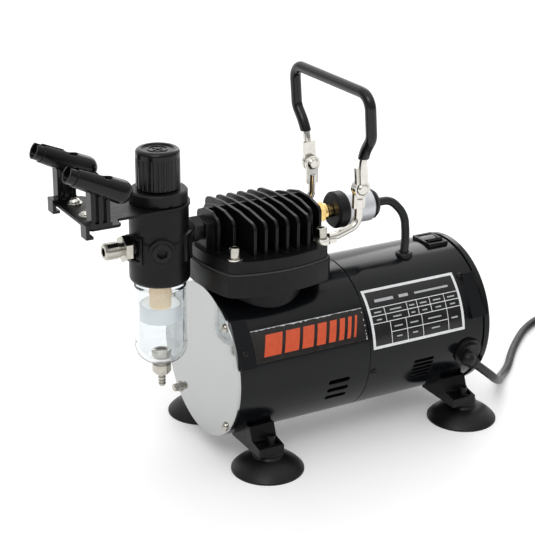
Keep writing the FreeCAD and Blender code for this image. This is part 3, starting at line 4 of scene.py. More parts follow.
import bmesh
import bpy
from mathutils import Matrix, Vector
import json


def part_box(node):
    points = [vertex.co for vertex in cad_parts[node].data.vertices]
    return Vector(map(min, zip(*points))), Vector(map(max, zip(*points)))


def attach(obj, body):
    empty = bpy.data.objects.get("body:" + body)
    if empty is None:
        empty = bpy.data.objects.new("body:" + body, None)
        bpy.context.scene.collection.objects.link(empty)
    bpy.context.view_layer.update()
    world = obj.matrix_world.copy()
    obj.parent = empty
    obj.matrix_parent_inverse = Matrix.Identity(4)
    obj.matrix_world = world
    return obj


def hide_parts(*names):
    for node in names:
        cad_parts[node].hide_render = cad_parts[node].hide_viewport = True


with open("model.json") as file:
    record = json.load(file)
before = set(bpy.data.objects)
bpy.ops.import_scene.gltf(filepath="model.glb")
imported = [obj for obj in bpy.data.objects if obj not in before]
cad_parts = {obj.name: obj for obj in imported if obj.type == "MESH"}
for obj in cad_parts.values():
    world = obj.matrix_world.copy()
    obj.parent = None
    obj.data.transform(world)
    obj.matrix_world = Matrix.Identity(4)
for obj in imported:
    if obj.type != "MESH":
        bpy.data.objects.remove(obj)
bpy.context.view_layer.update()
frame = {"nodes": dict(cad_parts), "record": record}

MM = 0.001
scene = bpy.context.scene
scene.view_settings.view_transform = "Standard"
nodes = frame["nodes"]


def middle(node):
    """The centre of a CAD node's box."""
    low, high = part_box(node)
    return (low + high) / 2


# ---------------------------------------------------------------- camera

CAMERA_AZIMUTH = math.radians(-29.22)
CAMERA_ELEVATION = math.radians(21.43)
CAMERA_ROLL = math.radians(0.51)
CAMERA_DISTANCE = 0.915
CAMERA_LENS = 99.2
AIM = Vector((-0.0019, 0.0, 0.1126))


def make_camera():
    """A long lens on the point AIM, rolled a little about its own line of sight."""
    data = bpy.data.cameras.new("Camera")
    data.lens = CAMERA_LENS
    data.sensor_width = 36.0
    data.clip_start = 0.05
    data.clip_end = 50.0
    back = Vector((
        math.sin(CAMERA_AZIMUTH) * math.cos(CAMERA_ELEVATION),
        -math.cos(CAMERA_AZIMUTH) * math.cos(CAMERA_ELEVATION),
        math.sin(CAMERA_ELEVATION)))
    level = Vector((math.cos(CAMERA_AZIMUTH), math.sin(CAMERA_AZIMUTH), 0.0))
    upright = back.cross(level)
    right = level * math.cos(CAMERA_ROLL) + upright * math.sin(CAMERA_ROLL)
    up = back.cross(right)
    camera = bpy.data.objects.new("Camera", data)
    turn = Matrix((right, up, back)).transposed()
    camera.matrix_world = Matrix.Translation(AIM + back * CAMERA_DISTANCE) @ turn.to_4x4()
    scene.collection.objects.link(camera)
    scene.camera = camera


make_camera()


# ---------------------------------------------------------------- materials

NOISE_ROUGHNESS = 0.55
BEVEL_SAMPLES = 6
# The cosine between the rounded and the true normal where an edge starts to show, and where it shows fully.
EDGE_LEAN_START = 0.985
EDGE_LEAN_FULL = 0.65
# How big the patches are in which sharp edges turn paler, for rubbed wear and for a painted edge highlight.
WEAR_AND_HIGHLIGHT_PATCH = 4 * MM
SMOOTHEST = 0.02


def shader_tree(name):
    """A new material, its node tree, its shader and its object coordinates."""
    material = bpy.data.materials.new(name)
    material.use_nodes = True
    tree = material.node_tree
    shader = tree.nodes["Principled BSDF"]
    coordinates = tree.nodes.new("ShaderNodeTexCoord").outputs["Object"]
    return material, tree, shader, coordinates


def stretched(tree, coordinates, scale):
    """The coordinates scaled along each axis, so that a pattern runs finer or coarser along it."""
    mapping = tree.nodes.new("ShaderNodeMapping")
    mapping.inputs["Scale"].default_value = scale
    tree.links.new(coordinates, mapping.inputs["Vector"])
    return mapping.outputs["Vector"]


def noise(tree, coordinates, size, detail=3.0, stretch=(1, 1, 1)):
    """Noise whose features are about size metres across."""
    texture = tree.nodes.new("ShaderNodeTexNoise")
    texture.inputs["Scale"].default_value = 1.0 / size
    texture.inputs["Detail"].default_value = detail
    texture.inputs["Roughness"].default_value = NOISE_ROUGHNESS
    tree.links.new(stretched(tree, coordinates, stretch), texture.inputs["Vector"])
    return texture.outputs["Fac"]


def ramp(tree, value, low, high, from_low=0.3, from_high=0.7):
    """Maps a value between two limits, noise's own if none are given, to a range of numbers."""
    node = tree.nodes.new("ShaderNodeMapRange")
    node.inputs["From Min"].default_value = from_low
    node.inputs["From Max"].default_value = from_high
    node.inputs["To Min"].default_value = low
    node.inputs["To Max"].default_value = high
    tree.links.new(value, node.inputs["Value"])
    return node.outputs["Result"]


def blended(tree, value, first, second):
    """A colour between two, by a value from 0 to 1."""
    node = tree.nodes.new("ShaderNodeMix")
    node.data_type = "RGBA"
    tree.links.new(value, node.inputs["Factor"])
    for name, colour in (("A", first), ("B", second)):
        socket = [s for s in node.inputs if s.name == name and s.type == "RGBA"][0]
        if isinstance(colour, bpy.types.NodeSocket):
            tree.links.new(colour, socket)
        else:
            socket.default_value = (*colour, 1.0)
    return [s for s in node.outputs if s.type == "RGBA"][0]


def bumped(tree, shader, height, distance):
    """Adds a bump of that depth, in metres, on top of any bump the shader has."""
    node = tree.nodes.new("ShaderNodeBump")
    node.inputs["Distance"].default_value = distance
    tree.links.new(height, node.inputs["Height"])
    before = shader.inputs["Normal"].links
    if before:
        tree.links.new(before[0].from_socket, node.inputs["Normal"])
    tree.links.new(node.outputs["Normal"], shader.inputs["Normal"])


def softened(tree, shader, radius):
    """Rounds every sharp edge a little, so that it catches the light."""
    node = tree.nodes.new("ShaderNodeBevel")
    node.samples = BEVEL_SAMPLES
    node.inputs["Radius"].default_value = radius
    tree.links.new(node.outputs["Normal"], shader.inputs["Normal"])
    return node.outputs["Normal"]


def edge_mask(tree, edge_normal):
    """1 on sharp edges and 0 on flat faces, from how far the rounded normal leans from the true one."""
    geometry = tree.nodes.new("ShaderNodeNewGeometry")
    dot = tree.nodes.new("ShaderNodeVectorMath")
    dot.operation = "DOT_PRODUCT"
    tree.links.new(edge_normal, dot.inputs[0])
    tree.links.new(geometry.outputs["True Normal"], dot.inputs[1])
    return ramp(tree, dot.outputs["Value"], 1.0, 0.0, EDGE_LEAN_FULL, EDGE_LEAN_START)


def worn_and_highlit_edges(tree, coordinates, edge_normal, surface, wear_and_highlight):
    """The surface's colour with its sharp edges turned to another one, in patches: rubbed wear, and a painted
    highlight where the edges catch the light.
    """
    patchy = tree.nodes.new("ShaderNodeMath")
    patchy.operation = "MULTIPLY"
    tree.links.new(edge_mask(tree, edge_normal), patchy.inputs[0])
    tree.links.new(ramp(tree, noise(tree, coordinates, WEAR_AND_HIGHLIGHT_PATCH), 0.25, 1.0), patchy.inputs[1])
    return blended(tree, patchy.outputs["Value"], surface, wear_and_highlight)


def finish_of(name, colour, roughness, metallic=0.0, tint=0.25, tint_size=0.02, smudge=0.05,
              smudge_size=0.012, grain=None, fine=None, edge=None, wear_and_highlight=None, stretch=(1, 1, 1), **constants):
    """A surface whose colour drifts by the tint and whose roughness drifts by the smudge.

    The grain and the fine grain are bumps, each as (size, depth). The edge is the radius that sharp edges are
    rounded to, and the paler colour that they turn to stands for rubbed wear together with a painted edge
    highlight. All sizes are in metres.
    """
    material, tree, shader, coordinates = shader_tree(name)
    shader.inputs["Metallic"].default_value = metallic
    for socket, value in constants.items():
        shader.inputs[socket.replace("_", " ")].default_value = value
    drift = ramp(tree, noise(tree, coordinates, tint_size, stretch=stretch), 0.0, 1.0)
    dark = [c * (1.0 - tint) for c in colour]
    light = [min(1.0, c * (1.0 + tint)) for c in colour]
    surface = blended(tree, drift, dark, light)
    if edge:
        edge_normal = softened(tree, shader, edge)
        # Sharp edges turn paler in patches: rubbed wear together with a painted edge highlight.
        if wear_and_highlight:
            surface = worn_and_highlit_edges(tree, coordinates, edge_normal, surface, wear_and_highlight)
    tree.links.new(surface, shader.inputs["Base Color"])
    patches = noise(tree, coordinates, smudge_size, detail=5.0, stretch=stretch)
    low = max(SMOOTHEST, roughness - smudge)
    tree.links.new(ramp(tree, patches, low, roughness + smudge), shader.inputs["Roughness"])
    for layer in (grain, fine):
        if layer:
            size, depth = layer
            bumped(tree, shader, noise(tree, coordinates, size, detail=2.0, stretch=stretch), depth)
    return material


def label_finish(name, colour, line_colour):
    """A printed sticker's gloss film, with a paler cut edge."""
    return finish_of(name, colour, 0.22, tint=0.35, tint_size=0.006, smudge=0.06, smudge_size=0.004,
                     grain=(0.0012, 0.00002), edge=0.0002, wear_and_highlight=line_colour, Specular_IOR_Level=0.4)


materials = {
    # The paler edge colour is rubbed wear together with a painted highlight along the sharp edges.
    "body_black": finish_of(
        "body_enamel", (0.0035, 0.004, 0.005), 0.16, tint=0.2, tint_size=0.05, smudge=0.04,
        smudge_size=0.03, grain=(0.004, 0.000012), edge=0.0006, wear_and_highlight=(0.02, 0.02, 0.022),
        Specular_IOR_Level=0.23),
    # The paler edge colour is rubbed wear together with a painted highlight along the sharp edges.
    "cast_black": finish_of(
        "cast_enamel", (0.003, 0.003, 0.0034), 0.36, tint=0.3, tint_size=0.008, smudge=0.07,
        smudge_size=0.006, grain=(0.0011, 0.00004), fine=(0.0003, 0.000012), edge=0.0005,
        wear_and_highlight=(0.05, 0.05, 0.05), Specular_IOR_Level=0.22),
    "chrome_plate": finish_of(
        "mirror_chrome", (0.46, 0.47, 0.465), 0.1, metallic=1.0, tint=0.02, tint_size=0.03, smudge=0.025,
        smudge_size=0.02, grain=(0.006, 0.00001), edge=0.0003),
    "nickel": finish_of(
        "nickel_plate", (0.7, 0.68, 0.63), 0.17, metallic=1.0, tint=0.08, tint_size=0.004, smudge=0.06,
        smudge_size=0.003, grain=(0.0009, 0.00001), edge=0.0003),
    "steel": finish_of(
        "ground_steel", (0.56, 0.56, 0.57), 0.3, metallic=1.0, tint=0.1, tint_size=0.003, smudge=0.08,
        smudge_size=0.002, grain=(0.0003, 0.000006), edge=0.0002, stretch=(1, 1, 6)),
    "brass": finish_of(
        "turned_brass", (0.86, 0.6, 0.24), 0.22, metallic=1.0, tint=0.12, tint_size=0.003, smudge=0.07,
        smudge_size=0.003, grain=(0.0004, 0.000008), edge=0.0003),
    # The emission is a painted glow that brightens the filter where the clear bowl leaves it in shade.
    "filter": finish_of(
        "sintered_filter_painted_glow", (0.98, 0.78, 0.56), 0.75, tint=0.14, tint_size=0.0007, smudge=0.08,
        smudge_size=0.001, grain=(0.0005, 0.00012), Emission_Color=(1.0, 0.68, 0.42, 1.0),
        Emission_Strength=0.2),
    # The emission is a painted glow that brightens the milky plastic where the clear bowl leaves it in shade.
    "white_plastic": finish_of(
        "milky_plastic_painted_glow", (0.93, 0.96, 0.98), 0.36, tint=0.03, tint_size=0.006, smudge=0.06,
        smudge_size=0.003, grain=(0.001, 0.00001), edge=0.0002, Emission_Color=(0.9, 0.96, 1.0, 1.0),
        Emission_Strength=0.2),
    # The paler edge colour is rubbed wear together with a painted highlight along the sharp edges.
    "black_gloss": finish_of(
        "gloss_moulding", (0.004, 0.004, 0.0045), 0.2, tint=0.25, tint_size=0.01, smudge=0.06,
        smudge_size=0.005, grain=(0.0016, 0.000014), edge=0.0004, wear_and_highlight=(0.04, 0.04, 0.04),
        Specular_IOR_Level=0.3),
    # The paler edge colour is rubbed wear together with a painted highlight along the sharp edges.
    "black_satin": finish_of(
        "satin_moulding", (0.005, 0.005, 0.0055), 0.38, tint=0.25, tint_size=0.006, smudge=0.07,
        smudge_size=0.004, grain=(0.0005, 0.00003), edge=0.0004, wear_and_highlight=(0.035, 0.035, 0.035),
        Specular_IOR_Level=0.25),
    "rubber": finish_of(
        "black_rubber", (0.005, 0.005, 0.0055), 0.4, tint=0.3, tint_size=0.01, smudge=0.09,
        smudge_size=0.007, grain=(0.0009, 0.00003), fine=(0.0002, 0.000008), edge=0.0005,
        Specular_IOR_Level=0.27),
    "cord": finish_of(
        "cord_sheath", (0.013, 0.0135, 0.015), 0.4, tint=0.2, tint_size=0.012, smudge=0.07,
        smudge_size=0.006, grain=(0.0012, 0.000035), Specular_IOR_Level=0.35),
    "vinyl": finish_of(
        "vinyl_sleeve", (0.0045, 0.0045, 0.005), 0.24, tint=0.25, tint_size=0.012, smudge=0.07,
        smudge_size=0.006, grain=(0.0025, 0.00006), fine=(0.0006, 0.00001), edge=0.0004,
        Specular_IOR_Level=0.4),
    "label_front": label_finish("dark_sticker", (0.016, 0.013, 0.012), (0.3, 0.29, 0.27)),
    "label_rating": label_finish("black_sticker", (0.008, 0.008, 0.009), (0.2, 0.2, 0.2)),
    "silver_label": finish_of(
        "silver_sleeve", (0.66, 0.68, 0.7), 0.34, metallic=0.35, tint=0.06, tint_size=0.004, smudge=0.06,
        smudge_size=0.003, grain=(0.0008, 0.000012), edge=0.0003),
    "gasket": finish_of(
        "gasket_sheet", (0.05, 0.05, 0.05), 0.7, tint=0.3, tint_size=0.001, smudge=0.1,
        smudge_size=0.002, grain=(0.0006, 0.00005)),
    "lamination": finish_of(
        "laminated_steel", (0.2, 0.2, 0.21), 0.42, metallic=1.0, tint=0.3, tint_size=0.0008, smudge=0.1,
        smudge_size=0.003, grain=(0.0006, 0.00006), stretch=(6, 0.3, 0.3)),
    "copper": finish_of(
        "enamelled_copper", (0.5, 0.2, 0.08), 0.32, metallic=0.8, tint=0.25, tint_size=0.0016, smudge=0.08,
        smudge_size=0.002, grain=(0.0009, 0.00025), stretch=(1, 1, 0.25)),
    "aluminium": finish_of(
        "machined_aluminium", (0.77, 0.78, 0.79), 0.28, metallic=1.0, tint=0.06, tint_size=0.002, smudge=0.08,
        smudge_size=0.002, grain=(0.0004, 0.000008), edge=0.0003),
}


def clear_plastic():
    """The bowl's polycarbonate, with faint moulding haze."""
    material, tree, shader, coordinates = shader_tree("clear_polycarbonate")
    shader.inputs["Transmission Weight"].default_value = 1.0
    shader.inputs["IOR"].default_value = 1.45
    haze = noise(tree, coordinates, 0.01)
    tint = blended(tree, haze, (0.88, 0.91, 0.925), (0.93, 0.95, 0.96))
    tree.links.new(tint, shader.inputs["Base Color"])
    tree.links.new(ramp(tree, haze, 0.01, 0.05), shader.inputs["Roughness"])
    bumped(tree, shader, noise(tree, coordinates, 0.008, detail=1.0), 0.00003)
    return material


materials["clear"] = clear_plastic()
FITTING_PLATE = finish_of(
    "fitting_plate", (0.5, 0.48, 0.43), 0.14, metallic=1.0, tint=0.1, tint_size=0.003, smudge=0.05,
    smudge_size=0.003, grain=(0.0008, 0.00001), edge=0.0003)
FITTING_NODES = ("outlet_fitting", "drain_body", "drain_stem", "head_bolts", "plate_screws")


def dress_frame():
    """Gives each CAD node the finish of its material slot, and the small fittings a warmer plating."""
    for part in frame["record"]["subparts"]:
        item = nodes[part["node"]]
        item.data.materials.clear()
        item.data.materials.append(materials[part["material_slot"]])
    for node in FITTING_NODES:
        nodes[node].data.materials[0] = FITTING_PLATE


dress_frame()


# ---------------------------------------------------------------- building pieces

LATHE_STEPS = 72


def piece(name, mesh, slot, body="frame", material=None):
    """Adds a mesh as a piece that rides on a body and takes a slot's finish."""
    item = bpy.data.objects.new(name, mesh)
    scene.collection.objects.link(item)
    item.data.materials.append(material or materials[slot])
    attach(item, body)
    return item


def lathed(name, outline, centre, axis, slot, body="frame", material=None):
    """A closed ring: an outline of (radius, distance along the axis) points spun about an axis."""
    build = bmesh.new()
    turn = Vector(axis).to_track_quat("Z", "Y")
    rings = []
    for step in range(LATHE_STEPS):
        angle = 2 * math.pi * step / LATHE_STEPS
        around = [Vector((r * math.cos(angle), r * math.sin(angle), h)) for r, h in outline]
        rings.append([build.verts.new(Vector(centre) + turn @ point) for point in around])
    for ring, after in zip(rings, rings[1:] + rings[:1]):
        for i, j in zip(range(len(outline)), [*range(1, len(outline)), 0]):
            build.faces.new((ring[i], after[i], after[j], ring[j]))
    bmesh.ops.recalc_face_normals(build, faces=build.faces)
    mesh = bpy.data.meshes.new(name)
    build.to_mesh(mesh)
    build.free()
    for face in mesh.polygons:
        face.use_smooth = True
    return piece(name, mesh, slot, body, material)


# ---------------------------------------------------------------- mains cord

CORD_DIAMETER = 5.8 * MM
CORD_RADIUS = CORD_DIAMETER / 2
PLATE_X = -48.1 * MM
# The loose stretch's points, as from_plate takes them.
CORD_START = [
    (169.6, -54.4, 42.4),
    (183.0, -54.2, 31.4),
    (193.6, -47.8, 22.4),
    (207.4, -34.6, 13.6),
    (218.2, -20.8, 7.2),
    (229.6, -10.4, 2.9),
    (241.0, -1.6, 2.9),
    (258.0, 16.5, 2.9),
    (277.5, 33.5, 2.9),
    (291.5, 44.4, 2.9),
    (311.0, 54.5, 2.9),
    (330.0, 58.2, 2.9),
    (351.0, 57.0, 2.9),
]
COIL_RADIUS = 32.0 * MM
COIL_OUTER = COIL_RADIUS + CORD_DIAMETER
COIL_POINTS = 16
# How far the coil winds inward, in cord diameters.
COIL_INWARD = 2.0
# Its winding in turns: the lower layer winds in over LOWER_REACH and ends at LOWER_TURNS, the cord climbs
# over CLIMB_TURNS, and the upper layer winds out over UPPER_REACH from UPPER_START.
COIL_TURNS = 6.25
LOWER_TURNS = 3.0
LOWER_REACH = 2.9
UPPER_START = 3.2
UPPER_REACH = 2.6
CLIMB_TURNS = 0.35


def from_plate(x, y, z):
    """A place in millimetres: X from the end plate's face, Y from the middle and Z from the floor."""
    return Vector((PLATE_X + x * MM, y * MM, z * MM))


def coil_line(centre):
    """Three turns inward on the floor, then three outward on top, from +Y and turning clockwise."""
    line = []
    for step in range(1, int(COIL_TURNS * COIL_POINTS)):
        turns = step / COIL_POINTS
        if turns <= LOWER_TURNS:
            inward = min(turns, LOWER_REACH) / LOWER_REACH * COIL_INWARD
            height = CORD_RADIUS
        else:
            outward = min(1.0, max(0.0, turns - UPPER_START) / UPPER_REACH)
            inward = COIL_INWARD - outward * COIL_INWARD
            height = CORD_RADIUS + CORD_DIAMETER * min(1.0, (turns - LOWER_TURNS) / CLIMB_TURNS)
        radius = COIL_OUTER - inward * CORD_DIAMETER
        angle = math.pi / 2 - 2 * math.pi * turns
        line.append(centre + Vector((radius * math.cos(angle), radius * math.sin(angle), height)))
    return line


def tail_line(centre):
    """From the coil's upper outer turn round to the back of the plug."""
    line = [
        (COIL_OUTER, 0.0, 1.5 * CORD_DIAMETER),
        (COIL_OUTER + 1.2 * MM, -21.0 * MM, 1.2 * CORD_DIAMETER),
        (COIL_OUTER - 2.4 * MM, -42.0 * MM, 0.55 * CORD_DIAMETER),
        (22.0 * MM, -59.0 * MM, 0.8 * CORD_DIAMETER),
        (3.0 * MM, -65.0 * MM, 9.0 * MM),
    ]
    return [centre + Vector(point) for point in line]


def nurbs(name, points, radius):
    """A smooth tube whose control points are these."""
    data = bpy.data.curves.new(name, "CURVE")
    data.dimensions = "3D"
    data.bevel_depth = radius
    data.bevel_resolution = 6
    data.resolution_u = 10
    data.use_fill_caps = True
    spline = data.splines.new("NURBS")
    spline.points.add(len(points) - 1)
    for control, point in zip(spline.points, points):
        control.co = (*point, 1.0)
    spline.order_u = 3
    spline.use_endpoint_u = True
    return data


def make_cord():
    """The mains lead in one piece: the loose stretch, the put-away coil and the tail to the plug."""
    start = [from_plate(*point) for point in CORD_START]
    centre = Vector((start[-1].x, start[-1].y - COIL_OUTER, 0.0))
    line = start + coil_line(centre) + tail_line(centre)
    cord = piece("mains_cord", nurbs("mains_cord", line, CORD_RADIUS), "cord")
    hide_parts("power_cord", "cord_coil")


make_cord()


# ---------------------------------------------------------------- printed labels

AXIS_Z = middle("end_plate").z
LABEL_RADIUS = 49.3 * MM
INK = 0.06 * MM
ARC_STEP = math.radians(1.5)


class Sticker:
    """A wrapped label as a flat sheet: across runs 0 to 1 along +X, and up 0 to 1 from its lower edge."""

    def __init__(self, node):
        low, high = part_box(node)
        self.left, self.width = low.x, high.x - low.x
        self.bottom = math.asin((low.z - AXIS_Z) / LABEL_RADIUS)
        self.sweep = math.asin((high.z - AXIS_Z) / LABEL_RADIUS) - self.bottom
        self.tall = self.sweep * LABEL_RADIUS

    def at(self, across, up, lift):
        """A point on the wrapped sheet, lifted off it."""
        angle = self.bottom + up * self.sweep
        radius = LABEL_RADIUS + lift
        along = self.left + across * self.width
        return Vector((along, -radius * math.cos(angle), AXIS_Z + radius * math.sin(angle)))

    def patch(self, build, corners):
        """A raised patch of ink between lower-left, lower-right, upper-right and upper-left corners."""
        lower_left, lower_right, upper_right, upper_left = corners
        rise = abs(upper_right[1] - lower_left[1]) * self.sweep
        rows = max(1, math.ceil(rise / ARC_STEP))
        grid = []
        for row in range(rows + 1):
            part = row / rows
            left = [a + (b - a) * part for a, b in zip(lower_left, upper_left)]
            right = [a + (b - a) * part for a, b in zip(lower_right, upper_right)]
            grid.append([build.verts.new(self.at(*end, lift))
                         for end in (left, right) for lift in (0.0, INK)])
        for below, above in zip(grid, grid[1:]):
            build.faces.new((below[1], below[3], above[3], above[1]))
            build.faces.new((below[0], above[0], above[2], below[2]))
            build.faces.new((below[0], below[1], above[1], above[0]))
            build.faces.new((below[2], above[2], above[3], below[3]))
        build.faces.new((grid[0][0], grid[0][2], grid[0][3], grid[0][1]))
        build.faces.new((grid[-1][0], grid[-1][1], grid[-1][3], grid[-1][2]))

    def bar(self, build, left, right, low, high):
        """A raised patch with square corners."""
        self.patch(build, ((left, low), (right, low), (right, high), (left, high)))


def printed(name, build, slot, material):
    """Adds the patches built so far as one piece of ink."""
    mesh = bpy.data.meshes.new(name)
    bmesh.ops.recalc_face_normals(build, faces=build.faces)
    build.to_mesh(mesh)
    build.free()
    return piece(name, mesh, slot, material=material)


def ink(name, colour):
    """Dry printing ink."""
    return finish_of(name, colour, 0.32, tint=0.07, tint_size=0.003, smudge=0.06, smudge_size=0.002,
                     grain=(0.0006, 0.000008))


ORANGE_INK = ink("orange_ink", (0.62, 0.085, 0.028))
WHITE_INK = ink("white_ink", (0.74, 0.75, 0.76))
GREY_INK = ink("grey_ink", (0.42, 0.43, 0.44))


def front_graphic():
    """Slanted blocks in orange, broad at the front and thinner towards the rear."""
    label = Sticker("front_label")
    build = bmesh.new()
    slant = 0.05
    low, high = 0.16, 0.8
    left = 0.07
    widths = (0.15, 0.125, 0.1, 0.08, 0.062, 0.046, 0.032, 0.02)
    gap = 0.03
    for width in widths:
        right = left + width
        label.patch(build, ((left, low), (right, low), (right + slant, high), (left + slant, high)))
        left = right + gap
    printed("front_graphic", build, "label_front", ORANGE_INK)


def label_rim():
    """The sticker's bright worn edge: a strip along its top and flecks down its rear side."""
    label = Sticker("front_label")
    build = bmesh.new()
    rng = random.Random(7)
    top_steps, top, narrowest = 46, 0.99, 0.005
    thin_from, thinner = 0.72, 0.55
    for step in range(top_steps):
        left, right = step / top_steps, (step + 1) / top_steps
        wide = rng.uniform(0.008, 0.042) * (1.0 if left < thin_from else thinner)
        label.bar(build, left, right, top - narrowest - wide, top)
    side_steps, side, share = 12, 0.988, 0.6
    for step in range(side_steps):
        low = step / side_steps
        if rng.random() < share:
            label.bar(build, side, side + rng.uniform(0.003, 0.009), low, low + rng.uniform(0.03, 0.08))
    printed("front_label_rim", build, "label_front", materials["silver_label"])


# Places on the rating label, as shares of its width and of its height from the lower edge.
FRAME_EDGE = 0.026
RULE = 0.006
TITLE_LINE, VALUES_LINE, UNITS_LINE = 0.66, 0.535, 0.41
LOWER_LINE = 0.23
COLUMNS = (0.17, 0.41, 0.52, 0.66, 0.82)
LOWER_COLUMNS = (0.2, 0.37, 0.54, 0.82)
TITLE_DASHES = ((0.1, 0.3, 0.76, 0.81), (0.36, 0.46, 0.76, 0.81), (0.53, 0.9, 0.765, 0.8))
CORNER_DASH = (0.86, 0.93, 0.23, 0.255)
DASH_HEIGHT = 0.022
DASH_INSET = 0.24


def rating_table(label):
    """The rating label's white frame and ruled table."""
    build = bmesh.new()
    top = FRAME_EDGE * label.width / label.tall
    label.bar(build, 0.0, 1.0, 0.0, top)
    label.bar(build, 0.0, 1.0, 1.0 - top, 1.0)
    label.bar(build, 0.0, FRAME_EDGE, top, 1.0 - top)
    label.bar(build, 1.0 - FRAME_EDGE, 1.0, top, 1.0 - top)
    for up in (TITLE_LINE, VALUES_LINE, UNITS_LINE):
        label.bar(build, FRAME_EDGE, 1.0 - FRAME_EDGE, up, up + 2 * RULE)
    for across in COLUMNS:
        label.bar(build, across, across + RULE, UNITS_LINE + 2 * RULE, TITLE_LINE)
    for across in LOWER_COLUMNS:
        label.bar(build, across, across + RULE, top, UNITS_LINE)
    label.bar(build, LOWER_COLUMNS[0], LOWER_COLUMNS[-1], LOWER_LINE, LOWER_LINE + 2 * RULE)
    printed("rating_graphic", build, "label_rating", WHITE_INK)


def row_of_dashes(edges, rows):
    """Dashes in each cell between the edges, one for each row of (height, inset's share)."""
    dashes = []
    for left, right in zip(edges, edges[1:]):
        for low, share in rows:
            inset = share * DASH_INSET * (right - left)
            dashes.append((left + inset, right - inset, low, low + DASH_HEIGHT))
    return dashes


def rating_dashes(label):
    """Plain dashes where a maker would print its figures."""
    build = bmesh.new()
    dashes = [*TITLE_DASHES]
    dashes += row_of_dashes((FRAME_EDGE, *COLUMNS, 1.0 - FRAME_EDGE), ((0.585, 1.0), (0.462, 1.3)))
    dashes += row_of_dashes(LOWER_COLUMNS, ((0.305, 1.0), (0.135, 1.4)))
    dashes.append(CORNER_DASH)
    for dash in dashes:
        label.bar(build, *dash)
    printed("rating_dashes", build, "label_rating", GREY_INK)


def rating_graphic():
    """The rating label's print: a table and its dashes."""
    label = Sticker("rating_label")
    rating_table(label)
    rating_dashes(label)


front_graphic()
label_rim()
rating_graphic()


# ---------------------------------------------------------------- small turned details

def outlet_thread():
    """The pipe thread on the outlet's barrel, as a row of closed ridges."""
    low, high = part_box("outlet_fitting")
    centre = Vector((low.x + 0.9 * MM, (low.y + high.y) / 2, (low.z + high.z) / 2))
    pitch, count, rise = 1.1 * MM, 7, 0.4
    root, crest, inside = 4.82 * MM, 5.25 * MM, 4.5 * MM
    outline = [(inside, 0.0)]
    for turn in range(count):
        start = turn * pitch
        outline += [(root, start), (crest, start + rise * pitch), (crest, start + (1 - rise) * pitch)]
    outline += [(root, count * pitch), (inside, count * pitch)]
    lathed("outlet_thread", outline, centre, (1, 0, 0), "chrome_plate", material=FITTING_PLATE)


def knob_mark():
    """A raised ring and cross in the knob's recessed top."""
    axis = middle("regulator_knob")
    recess, chamfer = 0.9 * MM, 0.1 * MM
    floor_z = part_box("regulator_knob")[1].z - recess
    inner, outer, tall = 5.3 * MM, 6.1 * MM, 0.45 * MM
    outline = [(inner, -chamfer), (outer, -chamfer), (outer, tall - chamfer), (outer - chamfer, tall),
               (inner + chamfer, tall), (inner, tall - chamfer)]
    lathed("knob_ring", outline, (axis.x, axis.y, floor_z), (0, 0, 1), "black_gloss", "knob")
    build = bmesh.new()
    turn = Matrix.Rotation(math.radians(25.0), 4, "Z")
    long, short, thick, lift = 7.2 * MM, 1.1 * MM, 0.5 * MM, 0.15 * MM
    place = Matrix.Translation((axis.x, axis.y, floor_z + lift))
    for along, across in ((long, short), (short, long)):
        size = Matrix.Diagonal((along, across, thick, 1.0))
        bmesh.ops.create_cube(build, size=1.0, matrix=place @ turn @ size)
    mesh = bpy.data.meshes.new("knob_cross")
    build.to_mesh(mesh)
    build.free()
    piece("knob_cross", mesh, "black_gloss", "knob")


def relief_rings():
    """The grip rings moulded round the gland's hood."""
    exit_point = from_plate(*CORD_START[0])
    ahead = (from_plate(*CORD_START[1]) - exit_point).normalized()
    inner, wide, slope = 3.2 * MM, 1.0 * MM, 0.15 * MM
    first, apart = 1.9 * MM, 2.0 * MM
    for i, outer in enumerate((4.25 * MM, 4.6 * MM)):
        outline = [(inner, 0.0), (outer, slope), (outer, wide - slope), (inner, wide)]
        lathed("relief_ring_%d" % i, outline, exit_point - ahead * (first + apart * i), ahead, "rubber")


outlet_thread()
knob_mark()
relief_rings()


# ---------------------------------------------------------------- stage

# The dome's strength at the horizon and overhead, and the backdrop's from its rim to its middle.
DOME_LIGHT = (0.2, 1.0)
BACKDROP_LIGHT = (0.0, 0.9)
# Which way the backdrop lies, and the cosine to that way at its rim and its middle.
BACKDROP_WAY = (0.45, 0.89, 0.0)
BACKDROP_SPREAD = (0.2, 1.0)


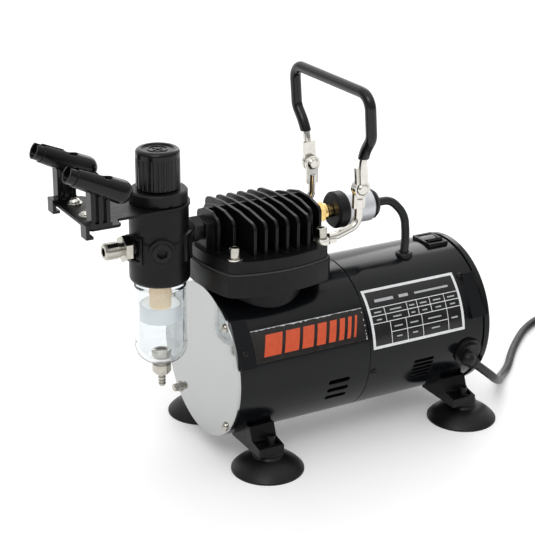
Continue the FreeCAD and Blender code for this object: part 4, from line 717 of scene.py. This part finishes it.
def make_floor():
    """A wide sheet of pale paper."""
    mesh = bpy.data.meshes.new("floor")
    half = 6.0
    corners = [(-half, -half, 0), (half, -half, 0), (half, half, 0), (-half, half, 0)]
    mesh.from_pydata(corners, [], [(0, 1, 2, 3)])
    floor = bpy.data.objects.new("floor", mesh)
    scene.collection.objects.link(floor)
    floor.data.materials.append(finish_of(
        "pale_paper", (0.9, 0.9, 0.9), 0.6, tint=0.01, tint_size=0.2, smudge=0.04, smudge_size=0.1,
        grain=(0.002, 0.00001), Emission_Color=(1.0, 1.0, 1.0, 1.0), Emission_Strength=0.16))


def area_light(name, place, aim, width, height, power):
    """A white soft box of that width and height in metres, and that power in watts."""
    data = bpy.data.lights.new(name, "AREA")
    data.shape = "RECTANGLE"
    data.size = width
    data.size_y = height
    data.energy = power
    light = bpy.data.objects.new(name, data)
    light.location = place
    light.rotation_euler = (Vector(aim) - Vector(place)).to_track_quat("-Z", "Y").to_euler()
    scene.collection.objects.link(light)


def make_dome():
    """A white dome, dim at the horizon and full overhead, with a bright backdrop behind the compressor."""
    world = bpy.data.worlds.new("Studio")
    world.use_nodes = True
    tree = world.node_tree
    background = tree.nodes["Background"]
    background.inputs["Color"].default_value = (1.0, 1.0, 1.0, 1.0)
    direction = tree.nodes.new("ShaderNodeTexCoord").outputs["Generated"]
    split = tree.nodes.new("ShaderNodeSeparateXYZ")
    tree.links.new(direction, split.inputs["Vector"])
    behind = tree.nodes.new("ShaderNodeVectorMath")
    behind.operation = "DOT_PRODUCT"
    behind.inputs[1].default_value = BACKDROP_WAY
    tree.links.new(direction, behind.inputs[0])
    total = tree.nodes.new("ShaderNodeMath")
    total.operation = "ADD"
    dome = ramp(tree, split.outputs["Z"], *DOME_LIGHT, 0.0, 1.0)
    backdrop = ramp(tree, behind.outputs["Value"], *BACKDROP_LIGHT, *BACKDROP_SPREAD)
    tree.links.new(dome, total.inputs[0])
    tree.links.new(backdrop, total.inputs[1])
    tree.links.new(total.outputs["Value"], background.inputs["Strength"])
    scene.world = world


def make_lights():
    """Three soft boxes: the key from the front left, one overhead and a rim light from behind."""
    area_light("key", (-0.9, -1.1, 1.7), (0, 0, 0.1), 1.1, 0.8, 9.5)
    area_light("top", (0.1, -0.2, 2.0), (0, 0, 0.1), 3.2, 2.8, 7.0)
    area_light("rim", (1.2, 1.2, 1.1), (0, 0, 0.12), 0.6, 0.9, 4.0)


make_floor()
make_dome()
make_lights()
